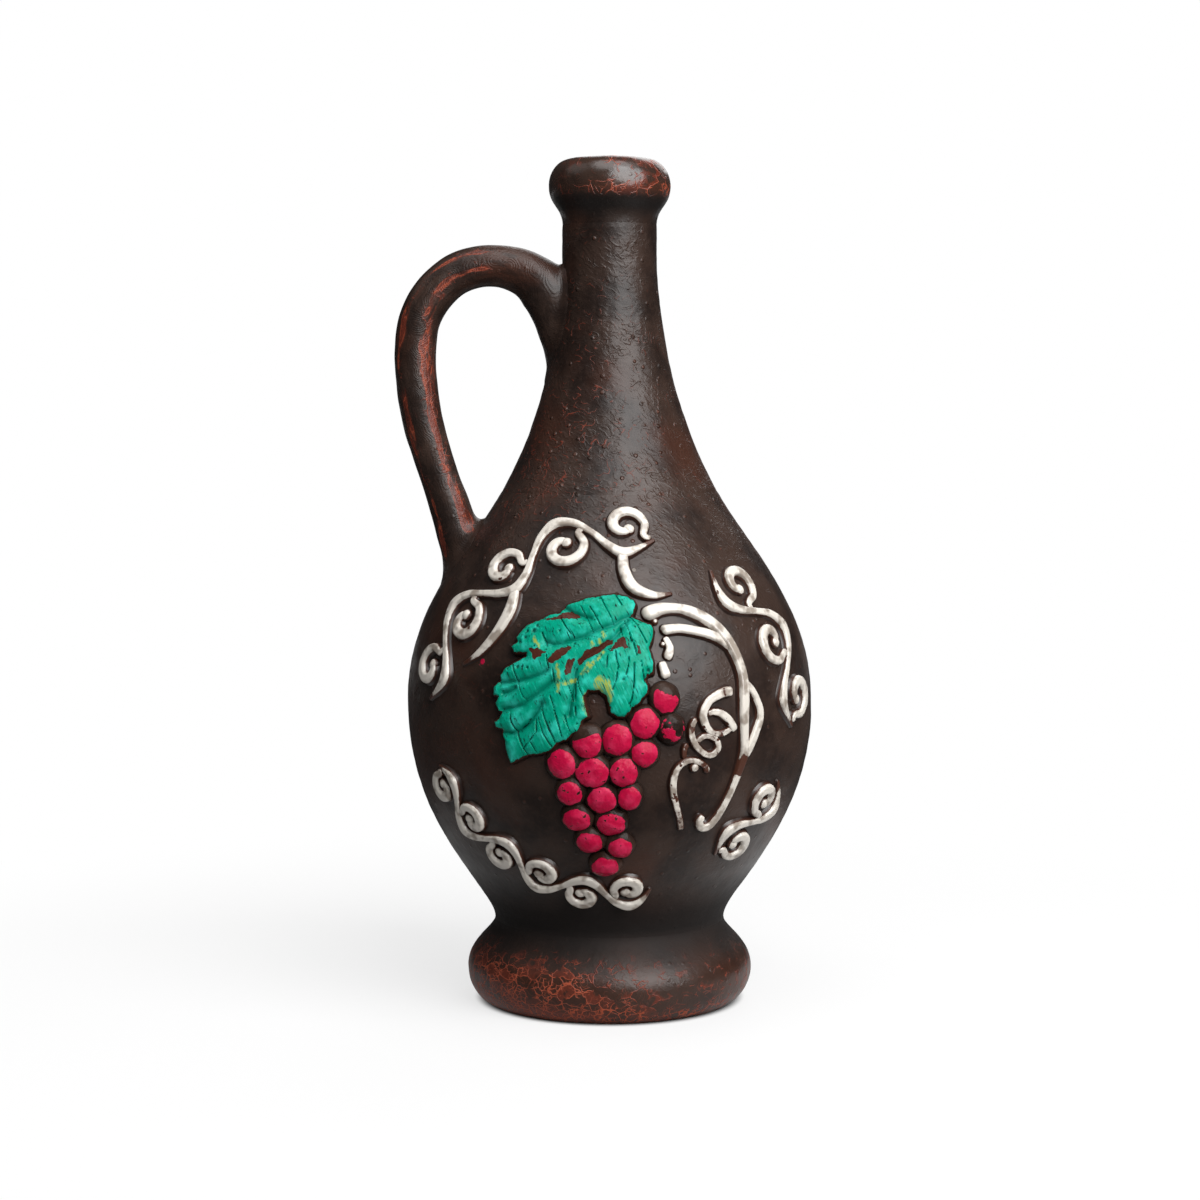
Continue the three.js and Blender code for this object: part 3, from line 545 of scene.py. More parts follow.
def smooth_line(points, step):
    """Evenly spaced points along a smooth line through the given ones."""
    given = [Vector(point) for point in points]
    given = [given[0] * 2 - given[1], *given, given[-1] * 2 - given[-2]]
    dense = []
    for a, b, c, d in zip(given, given[1:], given[2:], given[3:]):
        ka = math.sqrt((b - a).length)
        kb = ka + math.sqrt((c - b).length)
        kc = kb + math.sqrt((d - c).length)
        for i in range(24):
            k = ka + (kb - ka) * i / 24
            ab = a.lerp(b, k / ka)
            bc = b.lerp(c, (k - ka) / (kb - ka))
            cd = c.lerp(d, (k - kb) / (kc - kb))
            abc = ab.lerp(bc, k / kb)
            bcd = bc.lerp(cd, (k - ka) / (kc - ka))
            dense.append(abc.lerp(bcd, (k - ka) / (kb - ka)))
    dense = np.array([*dense, given[-2]])
    reached = np.concatenate([[0], np.cumsum(np.linalg.norm(np.diff(dense, axis=0), axis=1))])
    at = np.linspace(0, reached[-1], max(4, round(reached[-1] / step)) + 1)
    return np.stack([np.interp(at, reached, dense[:, axis]) for axis in range(3)], axis=1)


def smear_station(drop, stand_off, radius):
    """A station of the handle's path down the neck: sideways, the radius there, and height."""
    height = handle_root_height - handle_smear_length * drop
    return -wall_radius(height) - handle_radius * stand_off, handle_radius * radius, height


def loop_station(reach, rise, radius):
    """A station round the loop, by shares of its reach and of its rise from heel to crest."""
    height = handle_heel_height + (handle_crest_height - handle_heel_height) * rise
    return -handle_reach * reach, handle_radius * radius, height


def heel_station(drop, depth, radius):
    """A station inside the shoulder, where the heel is pressed on."""
    height = handle_heel_height - handle_radius * drop
    return handle_radius * depth - wall_radius(height), handle_radius * radius, height


def points_of(piece):
    """A piece's points, one row each."""
    return np.array([vertex.co for vertex in piece.data.vertices])


def move_points(piece, points):
    """Moves a piece's points to these places."""
    piece.data.vertices.foreach_set("co", points.ravel())
    piece.data.update()


def keep_values(piece, name, values):
    """Keeps a number at each point of a piece, for its material to read."""
    piece.data.attributes.new(name, "FLOAT", "POINT").data.foreach_set("value", values)


handle_stations = smooth_line([
    *(smear_station(*s) for s in ((1, -0.7, 0.7), (0.8, -0.64, 0.77), (0.63, -0.46, 0.88),
                                  (0.44, -0.16, 1.02), (0.22, 0.22, 1.18), (0, 0.8, 1.3))),
    *(loop_station(*s) for s in ((0.42, 0.972, 1.14), (0.54, 1, 1.02), (0.67, 1, 1), (0.8, 0.97, 1),
                                 (0.9, 0.91, 1), (0.975, 0.82, 1), (1, 0.71, 1), (0.975, 0.5, 0.97),
                                 (0.89, 0.29, 0.93), (0.83, 0.17, 0.97))),
    *(heel_station(*s) for s in ((0, 0.1, 1.12), (1.5, 1.6, 1.2)))], handle_step)
path = handle_stations.copy()
path[:, 1] = 0
along = np.gradient(path, axis=0)
along /= np.linalg.norm(along, axis=1)[:, None]
outward = np.stack([along[:, 2], along[:, 1] * 0, -along[:, 0]], axis=1)

bpy.ops.mesh.primitive_circle_add(vertices=handle_sides, radius=handle_stations[0][1], fill_type="NGON")
handle = bpy.context.object
handle.name = "handle_pulled"
bpy.ops.object.mode_set(mode="EDIT")
for _ in range(len(path) - 1):
    bpy.ops.mesh.extrude_region_move(TRANSFORM_OT_translate={"value": (0, 0, MM)})
bpy.ops.object.mode_set(mode="OBJECT")

# The straight column is bent along the path, and its ends are spread into fillets where they meet the wall.
column = points_of(handle)
rings = np.rint(column[:, 2] / MM).astype(int)
angles = np.arctan2(column[:, 1], column[:, 0])
toward_out = outward[rings] * np.cos(angles)[:, None]
to_side = np.array([0, 1, 0]) * np.sin(angles)[:, None]
away = (toward_out + to_side) * handle_stations[rings, 1][:, None]
placed = path[rings] + away
round_radius = np.hypot(placed[:, 0], placed[:, 1])
lean = wall_slope(placed[:, 2])
wall_normal = np.stack([placed[:, 0] / round_radius, placed[:, 1] / round_radius, -lean], axis=1)
wall_normal /= np.linalg.norm(wall_normal, axis=1)[:, None]
gap = (round_radius - wall_radius(placed[:, 2])) / np.hypot(1, lean)
sideways = away - wall_normal * (away * wall_normal).sum(axis=1)[:, None]
sideways /= np.maximum(np.linalg.norm(sideways, axis=1), least_sideways)[:, None]
fillet = np.where(rings < len(path) / 2, root_fillet, heel_fillet)
closeness = np.clip(1 - gap / fillet, 0, 1)
placed += sideways * (fillet * (1 - np.sqrt(1 - closeness ** 2)))[:, None]
move_points(handle, placed)

straight = handle.data.attributes.new("straight_skin", "FLOAT_VECTOR", "POINT")
straight.data.foreach_set("vector", np.stack([
    np.cos(angles) * handle_radius, np.sin(angles) * handle_radius, rings * handle_step], axis=1).ravel())
inward_share = -np.cos(angles)
streak_at = 0.58 - 0.42 * np.clip(outward[rings, 2], 0, 1)
rub_share = 0.2 + 0.75 * np.exp(-((inward_share - streak_at) / 0.36) ** 2)
rub_share += 0.55 * np.exp(-((inward_share + 0.7) / 0.22) ** 2)
rub_share *= np.clip((rings * handle_step - rub_starts) / rub_grows, 0.25, 1)
keep_values(handle, "rub", rub_share * np.clip(gap / rub_clear, 0, 1))
close_mesh()
tool_marks(handle, (0.4, 9))

# The same smoked earthenware, worn by hands: long brick-red streaks with brighter edges, broken by dark
# mottling, over fine rings where the clay was pulled.
rubbed_clay, add, handle_skin = new_material("rubbed_smoked_earthenware")
straight_skin = add("Attribute", attribute_name="straight_skin", out="Vector")
rub_here = add("Attribute", attribute_name="rub", out="Fac")
long_skin = add("Mapping", {"Vector": straight_skin, "Scale": (1, 1, 0.24)})
streaks = add("TexNoise", {"Vector": long_skin, "Scale": 1 / (3.4 * MM), "Detail": 4})
streaks = add("Math", {0: streaks, 1: 2.4, 2: rub_here}, **TIMES_PLUS)
edges = add("Math", {0: streaks, 1: 0.26}, **FOLD)
edges = add("MapRange", {0: edges, 1: 0.05, 2: 0.015}, **SOFT)
streaks = add("MapRange", {0: streaks, 1: 1.84, 2: 2.2, 4: 0.8}, **SOFT)
edges = add("Math", {0: edges, 1: streaks}, **TIMES)
mottled = add("TexNoise", {"Vector": long_skin, "Scale": 1 / (1.5 * MM), "Detail": 2})
mottled = add("MapRange", {0: mottled, 1: 0.5, 2: 0.62, 4: 0.55}, **SOFT)
pulled = add("TexNoise", {"Vector": straight_skin, "Scale": 1 / (5.5 * MM), "Detail": 0})
pulled = add("Math", {0: pulled, 1: 0.03}, **FOLD)
less_net = add("Math", {0: rub_here, 1: 0.5}, **TIMES)
clay, clay_rough, clay_height = fired_clay(add, handle_skin, less_net, 0.25)
for share, tone in ((streaks, "red"), (edges, "bright"), (mottled, "dark")):
    clay = add("Mix", {0: share, 6: clay, 7: clay_colours[tone]}, **RGB)
for mark, rise in ((pulled, 1.1), (streaks, -0.08)):
    clay_height = add("Math", {0: mark, 1: rise * MM, 2: clay_height}, **TIMES_PLUS)
surface(add, clay, clay_rough, clay_height)
dress(handle, rubbed_clay, "vessel", "handle_clay", "handle")

# Canes and stalks
# Vine canes trailed on to the belly in thick slip, brushed with silver-white enamel along their backs.
# The enamel stops short of the wall, so that a line of bare clay runs along both sides, with painted shade
# darkening it toward the wall.

enamel_colours = {"white": "#dcd5cb", "grey": "#9c9186", "rust": "#4d2a1c"}
cane_rise = 1.9 * MM
bead_rise = 1.2 * MM
relief_lift = 0.25 * MM
strand_step = 0.45 * MM
usual_width = 2.4 * MM
end_rounding = 0.6
blunt_end = 0.03
slip_top = 0.96
bud_cut = 0.2
relief_crease = math.radians(60)
cane_fork = (35.7 * MM, -46.4 * MM, 74 * MM)
slip_side = [(0.86, -0.4), (0.82, -0.12), (0.7, 0.06), (0.6, 0.26), (0.54, 0.48), (0.5, 0.7), (0.43, 0.88),
             (0.31, 0.98), (0.14, 0.98)]

# Ornament is drawn on a flat sheet, true to shape at every height, and then wrapped round the belly.
sheet_heights = np.linspace(foot_height, neck_top, 1600)
sheet_growth = np.hypot(1, wall_slope(sheet_heights)) * belly_radius / wall_radius(sheet_heights)
sheet_steps = (sheet_growth[1:] + sheet_growth[:-1]) / 2 * np.diff(sheet_heights)
sheet_rise = np.concatenate([[0], np.cumsum(sheet_steps)])
sheet_rise -= np.interp(belly_widest_height, sheet_heights, sheet_rise)


def on_sheet(across, up):
    """A place on the flat sheet, from millimetres round and up the belly."""
    return across * MM, float(np.interp(belly_widest_height + up * MM, sheet_heights, sheet_rise))


def sheet_scale(up_on_sheet):
    """How much larger than life things are drawn at this height of the sheet."""
    return belly_radius / wall_radius(np.interp(up_on_sheet, sheet_rise, sheet_heights))


def add_rise(piece):
    """Keeps each point's height over the wall, in millimetres, for the paint to follow."""
    _, up, out = points_of(piece).T
    keep_values(piece, "rise", out / sheet_scale(up) / MM)


def lay_on_belly(piece):
    """Bends a piece that is drawn flat on the sheet round the belly, standing square on the wall."""
    across, up, out = points_of(piece).T
    heights_there = np.interp(up, sheet_rise, sheet_heights)
    slopes = wall_slope(heights_there)
    leans = np.hypot(1, slopes)
    out = out / sheet_scale(up) + relief_lift
    radii = wall_radius(heights_there) + out / leans
    turns = across / belly_radius
    heights_out = heights_there - out * slopes / leans
    move_points(piece, np.stack([radii * np.sin(turns), -radii * np.cos(turns), heights_out], axis=1))
    pick(piece)
    bpy.ops.object.shade_smooth_by_angle(angle=relief_crease)


def new_curve(name, points, widths, closed=False):
    """A straight-sided curve through dense points, with a width at each."""
    bpy.ops.object.add(type="CURVE")
    curve = bpy.context.object
    curve.name = name
    curve.data.dimensions = "3D"
    curve.data.twist_mode = "Z_UP"
    spline = curve.data.splines.new("POLY")
    spline.points.add(len(points) - 1)
    spline.use_cyclic_u = closed
    for point, place, width in zip(spline.points, points, widths):
        point.co = (*place[:2], 0, 1)
        point.radius = width
    return curve


def trail(name, line, rise):
    """A trail of slip along points given as across, up and painted width, all in millimetres."""
    drawn = smooth_line([(*on_sheet(across, up), width * MM) for across, up, width in line], strand_step)
    steps = np.linalg.norm(np.diff(drawn[:, :2], axis=0), axis=1)
    reached = np.concatenate([[0], np.cumsum(steps)])
    from_end = np.minimum(reached, reached[-1] - reached)
    near_end = 1 - np.clip(from_end / (end_rounding * drawn[:, 2]), 0, 1)
    rounded = np.sqrt(np.maximum(1 - near_end ** 2, blunt_end))
    widths = drawn[:, 2] / usual_width * rounded * sheet_scale(drawn[:, 1])
    right = [(x * usual_width, y * rise) for x, y in slip_side]
    section_points = [*right, (0, slip_top * rise), *((-x, y) for x, y in reversed(right))]
    section = new_curve(name + "_section", section_points, [1] * len(section_points), closed=True)
    curve = new_curve(name, drawn, widths)
    curve.data.bevel_mode = "OBJECT"
    curve.data.bevel_object = section
    curve.data.use_fill_caps = True
    bpy.ops.object.convert(target="MESH")
    piece = bpy.context.object
    bpy.data.objects.remove(section)
    close_mesh(0.001 * MM)
    return piece


def cut_ball(name, segments, ring_count, depth):
    """A ball of radius 1 at the middle of the sheet, cut flat this far below its own middle."""
    bpy.ops.mesh.primitive_uv_sphere_add(segments=segments, ring_count=ring_count, radius=1)
    ball = bpy.context.object
    ball.name = name
    edit_whole()
    bpy.ops.mesh.bisect(plane_co=(0, 0, -depth), plane_no=(0, 0, -1), clear_outer=True, use_fill=True)
    bpy.ops.object.mode_set(mode="OBJECT")
    return ball


def size_and_place(half_width, half_height, rise, place):
    """Stretches the active ball to its half sizes and its rise, and moves it to its place on the sheet."""
    scale = float(sheet_scale(place[1]))
    edit_whole()
    bpy.ops.transform.resize(value=(half_width * MM * scale, half_height * MM * scale, rise * scale),
                             center_override=(0, 0, 0))
    bpy.ops.transform.translate(value=(*place, 0))
    bpy.ops.object.mode_set(mode="OBJECT")


def bud_at(name, across, up, half_width, rise):
    """A small round bud of slip, in millimetres across, up and half across."""
    bud = cut_ball(name, 28, 16, bud_cut)
    size_and_place(half_width, half_width, rise, on_sheet(across, up))
    return bud


def join(name, pieces):
    """Joins the parts of one trail into a single piece, laid on the belly."""
    pick(*pieces)
    if len(pieces) > 1:
        bpy.ops.object.join()
    pieces[0].name = name
    add_rise(pieces[0])
    lay_on_belly(pieces[0])
    return pieces[0]


def enamelled_slip(name, chipped):
    """Silver-white enamel brushed over the backs of trailed slip, with bare clay at the foot and in chips,
    and painted shade darkening the bare foot toward the wall.
    """
    material, add, skin = new_material(name)
    _, clay_rough, clay_height = fired_clay(add, skin, 0.0, 0.0)
    rise = add("Attribute", attribute_name="rise", out="Fac")
    ragged, chips, cloud = (add("TexNoise", {"Vector": skin, "Scale": 1 / (size * MM), "Detail": detail})
                            for size, detail in ((1.2, 3), (4.6, 3), (4, 2)))
    ragged = add("Math", {0: ragged, 1: 0.5, 2: rise}, **TIMES_PLUS)
    painted = add("MapRange", {0: ragged, 1: 1.22, 2: 1.32}, **SOFT)
    thin = add("MapRange", {0: ragged, 1: 1.5, 2: 1.2, 4: 0.7}, **SOFT)
    fork = add("VectorMath", {0: skin, 1: cane_fork}, operation="DISTANCE", out=1)
    fork = add("MapRange", {0: fork, 1: 4.5 * MM, 2: 2 * MM, 4: 0.4}, **SOFT)
    chips = add("Math", {0: chips, 1: fork}, operation="SUBTRACT")
    chips = add("MapRange", {0: chips, 1: chipped - 0.01, 2: chipped + 0.015}, **SOFT)
    cloud = add("MapRange", {0: cloud, 1: 0.34, 2: 0.52}, **SOFT)
    # Painted shade: the bare clay turns from rust-brown to near-black toward the wall.
    low = add("MapRange", {0: rise, 1: 0.9, 2: 0.3, 4: 0.8}, **SOFT)
    bare = add("Mix", {0: low, 6: enamel_colours["rust"], 7: clay_colours["painted_shade"]}, **RGB)
    shade = enamel_colours["grey"]
    for share, tone in ((cloud, enamel_colours["white"]), (thin, enamel_colours["rust"])):
        shade = add("Mix", {0: share, 6: shade, 7: tone}, **RGB)
    shade = add("Mix", {0: chips, 6: enamel_colours["rust"], 7: shade}, **RGB)
    shade = add("Mix", {0: painted, 6: bare, 7: shade}, **RGB)
    kept = add("Math", {0: painted, 1: chips}, **TIMES)
    rough = add("Math", {0: kept, 1: -0.18, 2: clay_rough}, **TIMES_PLUS)
    height = add("Math", {0: kept, 1: 0.12 * MM, 2: clay_height}, **TIMES_PLUS)
    height = add("Math", {0: cloud, 1: 0.03 * MM, 2: height}, **TIMES_PLUS)
    surface(add, shade, rough, height, IOR=1.65)
    return material


# Silver-white enamel, brushed on thickly: a wet shine and soft grey clouds, and rust-brown clay in its chips.
# On the tendril it is worn, with many more chips.
silver_enamel = enamelled_slip("silver_white_enamel_on_slip", 0.26)
worn_enamel = enamelled_slip("worn_silver_enamel_on_slip", 0.39)

canes = {
    "cane_upper": [
        (9.6, 28.4, 3.2), (12.6, 29.4, 3.5), (15.1, 30.1, 3.1), (18.3, 30.3, 2.7), (21.4, 30.1, 2.6),
        (24.5, 29.4, 2.8), (27.5, 28.2, 2.9), (30.5, 26.5, 3), (33.2, 24.2, 3), (35.3, 21.5, 2.9),
        (36.7, 18.8, 2.8), (37.8, 15.8, 2.7), (38.5, 12.8, 2.7), (38.6, 9.9, 2.8), (38.4, 5.9, 2.8),
        (38.2, 1.9, 2.7), (38.3, -2.2, 2.5), (38.5, -4.9, 2.4), (38.7, -7.2, 2.5), (38.5, -9.6, 2.5),
        (37.9, -12.1, 2.3), (37.1, -14.8, 2.1), (36.3, -17.5, 2), (35.3, -20.2, 2), (34, -23.3, 2),
        (32.3, -26.3, 2.1), (30.2, -28.2, 2.2), (28, -28.2, 2.2), (27, -26.5, 2.1), (28, -24.7, 1.9)],
    "cane_lower": [
        (14.8, 24.4, 2.6), (15.9, 24.8, 2.6), (17.7, 25, 2.5), (20.4, 25.1, 2.4), (23.5, 24.7, 2.4),
        (26.5, 24.1, 2.4), (29.6, 23.3, 2.5), (32, 22.3, 2.4), (34.4, 20.8, 2.2), (36, 19, 1.8)],
    "cane_side": [
        (39.1, 11, 1.6), (41.6, 8.1, 2), (43, 5.6, 2.1), (44.1, 2.8, 2.2), (43.9, 0.1, 2.3),
        (42.6, -2.6, 2.4), (41.4, -5.2, 2.4), (40.2, -7.8, 2.2), (39.3, -9.9, 1.8)],
    "bunch_stalk_upper": [
        (15.6, 23.3, 1.6), (16.5, 21.7, 1.8), (16.9, 20.1, 2.1), (16.3, 18.3, 2.3), (15.6, 17.1, 2.1)],
    "bunch_stalk_lower": [(14.2, 17.1, 2), (14.6, 15.5, 2.2), (15.1, 13.7, 2.5), (15.5, 12.2, 2.5)],
}
cane_beads = {"cane_upper": (13.4, 27.2, 1.1), "bunch_stalk_upper": (15.1, 21.3, 0.9)}
for node, line in canes.items():
    parts = [trail(node + "_line", line, cane_rise)]
    if node in cane_beads:
        parts.append(bud_at(node + "_bead", *cane_beads[node], bead_rise))
    dress(join(node + "_trailed", parts), silver_enamel, "vessel", "silver_paint", node)

# Tendril
# A thin trail of slip curled into loops beside the canes, with a loose tail hanging under them and a small
# bud at its top. Its enamel is thin and chipped, so that brown clay shows here and there along it.

tendril_rise = 1.6 * MM
tendril_bud = (23.4, -11.4, 1.5, 1.4 * MM)
tendrils = {
    "tendril_spiral": [
        [(35.2, 8.2, 2.5), (32.6, 8.3, 2.5), (29.8, 7.5, 2.4), (27.5, 6.3, 2.3), (26, 4.5, 2.3),
         (25.3, 2.4, 2.3), (25.9, 0.3, 2.2), (27.1, -1.4, 1.9), (28.9, -2.5, 1.7), (31, -2.7, 1.8),
         (33.2, -2, 1.7), (34.6, -1.2, 1.5)],
        [(26.3, 2.4, 1.6), (28.3, 3.2, 1.8), (30.7, 2.7, 2.1), (32.9, 1.2, 2.2), (34.5, -0.8, 2.2),
         (35.5, -2.6, 1.9)],
        [(23.9, 1.7, 1.6), (22.8, 1, 1.7), (22.1, -0.9, 1.8), (22.2, -3, 1.9), (23.1, -5, 1.9),
         (24.9, -7, 1.8), (27, -8.2, 1.8), (28.8, -8, 1.9), (30.1, -6.5, 1.9), (29.7, -4.6, 1.8),
         (28, -3.4, 1.7), (25.9, -3.1, 1.7), (24.2, -4, 1.7), (23.6, -5.3, 1.5)],
        [(21.3, -4.8, 1.4), (20.4, -5.9, 1.5), (20.2, -7.5, 1.4), (20.4, -9.2, 1.3)]],
    "tendril_tail": [
        [(26.5, -13.1, 1.7), (27.2, -12.1, 1.7), (26.1, -10.9, 1.5), (24.5, -10, 1.7), (22.1, -9.4, 1.7),
         (20.2, -9.9, 1.8), (18.6, -11.3, 1.8), (17.7, -13.5, 1.9), (17.5, -15.9, 2), (18, -18.8, 1.9),
         (19, -21.6, 1.8), (20.2, -24.5, 1.7), (21.1, -26.9, 1.7), (21.7, -29, 1.6)]],
}
for node, lines in tendrils.items():
    parts = [trail(f"{node}_line_{i}", line, tendril_rise) for i, line in enumerate(lines)]
    if node == "tendril_tail":
        parts.append(bud_at(node + "_bud", *tendril_bud))
    dress(join(node + "_trailed", parts), worn_enamel, "vessel", "silver_paint", node)

# Grapes
# Seventeen balls of soft clay pressed flat on to the wall in a hanging bunch, then painted crimson by brush.
# The paint covers only their tops, so that each sits in a rim of dark clay, made darker toward the wall by
# painted shade, and four are partly bare.

grape_rise = 2.9 * MM
grape_colours = {"crimson": "#b60c3b", "deep": "#7c0729", "pink": "#c62850"}
clay_rim = 0.75
paint_edge = 0.35
grape_cut = 0.15
dome_powers = (2.4, 0.6)
whole_cover = (0, 0, 9)
grapes = [
    (14.7, 7.2, 3.4, 3.9), (16.3, -0.6, 3.3, 3.6), (9.1, 1.0, 3.7, 4.1), (2.0, -3.1, 3.9, 4.3),
    (-5.7, -4.0, 3.9, 4.2), (9.1, -7.0, 3.5, 3.5), (3.7, -11.8, 3.8, 4.0), (-4.4, -11.9, 4.5, 4.1),
    (-12.5, -9.7, 3.8, 4.1), (-10.6, -17.4, 3.5, 3.5), (-2.0, -19.2, 3.9, 3.8), (5.4, -18.7, 3.1, 3.4),
    (-9.1, -24.6, 3.7, 3.4), (0.6, -25.8, 3.9, 3.5), (-5.9, -31.1, 3.6, 3.4), (3.2, -32.6, 3.4, 3.3),
    (-1.4, -38.2, 3.8, 3.4)]
bare_tops = {0: (0.3, 0.6, 0.2), 1: (0.05, 0.02, 0.0), 4: (-0.35, 1.1, 0.36), 15: (0.7, -0.1, 0.45)}

ball = cut_ball("pressed_ball", 48, 36, grape_cut)
points = points_of(ball)
from_middle = np.minimum(1, np.hypot(points[:, 0], points[:, 1]))
dome = (1 - from_middle ** dome_powers[0]) ** dome_powers[1]
points[:, 2] = np.where(points[:, 2] > 0, dome, points[:, 2])
move_points(ball, points)

# Crimson paint, brushed on to clay and left unvarnished: a deep flat red with a low shine, paler in the
# brush marks, darker toward its rim, and torn where it never took.
painted_grape, add, grape_skin = new_material("crimson_paint_on_clay")
grape_clay, _, grape_grain = fired_clay(add, grape_skin, 0.05, 0.1)
rise_here, cover_here = (add("Attribute", attribute_name=name, out="Fac") for name in ("rise", "cover"))
torn, pits, brushed = (add("TexNoise", {"Vector": grape_skin, "Scale": 1 / (size * MM), "Detail": detail})
                       for size, detail in ((2.4, 3), (1.5, 2), (3, 4)))
covered = add("Math", {0: torn, 1: 1.3, 2: cover_here}, **TIMES_PLUS)
crimson_here = add("MapRange", {0: covered, 1: 0.62, 2: 0.7}, **SOFT)
pits = add("MapRange", {0: pits, 1: 0.7, 2: 0.67})
crimson_here = add("Math", {0: crimson_here, 1: pits}, **TIMES)
tinted = add("MapRange", {0: brushed, 1: 0.42, 2: 0.68}, **SOFT)
shaded = add("MapRange", {0: rise_here, 1: 2.2, 2: 1.2, 4: 0.7}, **SOFT)
# Painted shade: the bare clay round each grape is mixed toward near-black toward the wall.
painted_foot_shade = add("MapRange", {0: rise_here, 1: 1.1, 2: 0.2, 4: 0.85}, **SOFT)
crimson = grape_colours["crimson"]
for share, tone in ((tinted, "pink"), (shaded, "deep")):
    crimson = add("Mix", {0: share, 6: crimson, 7: grape_colours[tone]}, **RGB)
grape_clay = add("Mix", {0: painted_foot_shade, 6: grape_clay, 7: clay_colours["painted_shade"]}, **RGB)
grape_colour = add("Mix", {0: crimson_here, 6: grape_clay, 7: crimson}, **RGB)
thick = grape_grain
for mark, rise in ((crimson_here, 0.16), (brushed, 0.6)):
    thick = add("Math", {0: mark, 1: rise * MM, 2: thick}, **TIMES_PLUS)
surface(add, grape_colour, 0.33, thick, **{"Specular IOR Level": 0.2})

for number, (across, up, half_width, half_height) in enumerate(grapes):
    pick(ball)
    bpy.ops.object.duplicate()
    grape = bpy.context.object
    grape.name = f"grape_{number + 1:02d}_pressed"
    x, y, _ = points_of(grape).T
    lean_x, lean_y, line = bare_tops.get(number, whole_cover)
    half = (half_width + half_height) / 2
    keep_values(grape, "cover", np.minimum(half - paint_edge - np.hypot(x, y) * (half + clay_rim),
                                           (line - x * lean_x - y * lean_y) * half))
    size_and_place(half_width + clay_rim, half_height + clay_rim, grape_rise, on_sheet(across, up))
    tool_marks(grape, (0.6, 3.4))
    add_rise(grape)
    lay_on_belly(grape)
    dress(grape, painted_grape, "vessel", "grape_paint", f"grape_{number + 1:02d}")
bpy.data.objects.remove(ball)

# Vine leaf
# A leaf cut from a rolled slab of clay and pressed on, with its lobes puffed up between pressed veins. The
# teal paint has dried in fine cracks, has worn off the middle vein, and is brushed yellow round the notch.

# Heights, reaches and the lines below are in millimetres, across and up from the belly's widest height.
leaf_cell = 0.21 * MM
leaf_edge_rise = 1.7
leaf_puff = 1.1
leaf_puff_reach = 3.4
leaf_margin = 1.1
leaf_flank = 0.6
flank_foot = -0.3
slab_below = 0.5 * MM
slab_thickness = 2 * MM
vein_groove = (0.35, 0.45)
crack_groove = 0.34
pit_hollow = (0.35, 0.8)
leaf_outline = [
    (5.5, 32.9), (1.6, 33.6), (-3.2, 33.1), (-7.1, 32.5), (-10, 31.6), (-12.5, 30.8), (-13.9, 29.5),
    (-14.4, 28.7), (-17.8, 28.2), (-19.8, 27), (-21.9, 26.3), (-24, 25.5), (-25.4, 24), (-26.7, 22.3),
    (-26, 21.2), (-27.8, 20), (-26.7, 18.8), (-22.8, 18.7), (-22.8, 17.6), (-25, 16.5), (-28.7, 14.5),
    (-30, 12.5), (-29.6, 11.4), (-31.7, 9.5), (-31.7, 7.6), (-29.9, 7.3), (-30.9, 5.4), (-29.9, 3.6),
    (-28.8, 3.3), (-29.7, 1.3), (-31, 0.5), (-30.8, -0.8), (-28.4, -1.2), (-28.8, -2.4), (-28, -4.2),
    (-27.9, -6.1), (-27.4, -8), (-26.7, -9.9), (-23.8, -8.6), (-21.7, -7.5), (-18.9, -7.2), (-16.6, -6.5),
    (-14.6, -5.5), (-13.4, -3.9), (-11.2, -3.1), (-9.7, -1.6), (-8.2, -0.8), (-7.6, 0.7), (-7.3, 2),
    (-5.6, 2.8), (-6.4, 5.6), (-6.8, 8.1), (-5.7, 9.6), (-2.7, 9.8), (-0.7, 8.2), (0.1, 6), (0.4, 4.1),
    (2.1, 2.9), (3.9, 3), (5, 4.1), (5.4, 5.2), (7.6, 6.3), (8.4, 7.7), (9.7, 8.8), (10, 10.7), (9.1, 12.1),
    (9.9, 13.6), (11.4, 13.9), (11.6, 16.5), (11.1, 18.7), (10.6, 20.1), (11.6, 22), (12.3, 24.5),
    (11.9, 25.8), (9.7, 26.5), (7.3, 27.4), (6.1, 28), (7, 29.3), (7.8, 31.1), (7.2, 32)]
leaf_veins = [
    [(5.9, 28.1), (3.5, 27.3), (1.2, 26.1), (-2.1, 25.2), (-4.5, 24.2), (-7.2, 22.9), (-10.9, 21.9),
     (-13.2, 21.1), (-15.7, 20.9), (-17.4, 21.4)],
    [(-15.3, 11.5), (-17.2, 9.9), (-19.5, 8.1), (-21.9, 6.4), (-23, 5.4), (-25.1, 4.6), (-28.6, 3.8)],
    [(-17.9, 5.8), (-20, 2.2), (-21.2, 0.6), (-23.5, -1.2), (-25.5, -2.2), (-28.6, -2.2)],
    [(-16.9, 14.4), (-18.2, 13.5), (-21.4, 12.3), (-24.8, 11.3), (-29.8, 10.6)],
    [(-25.5, 9.7), (-27, 8.6), (-28.9, 8)],
    [(-13.2, 30), (-11.2, 29.1), (-8.6, 28.2), (-5.5, 27.6)],
    [(5.1, 27.1), (1.8, 23.3), (-1.4, 20.9), (-4.5, 19), (-7.5, 17), (-9, 15.2), (-9.5, 10), (-10.5, 3)],
]
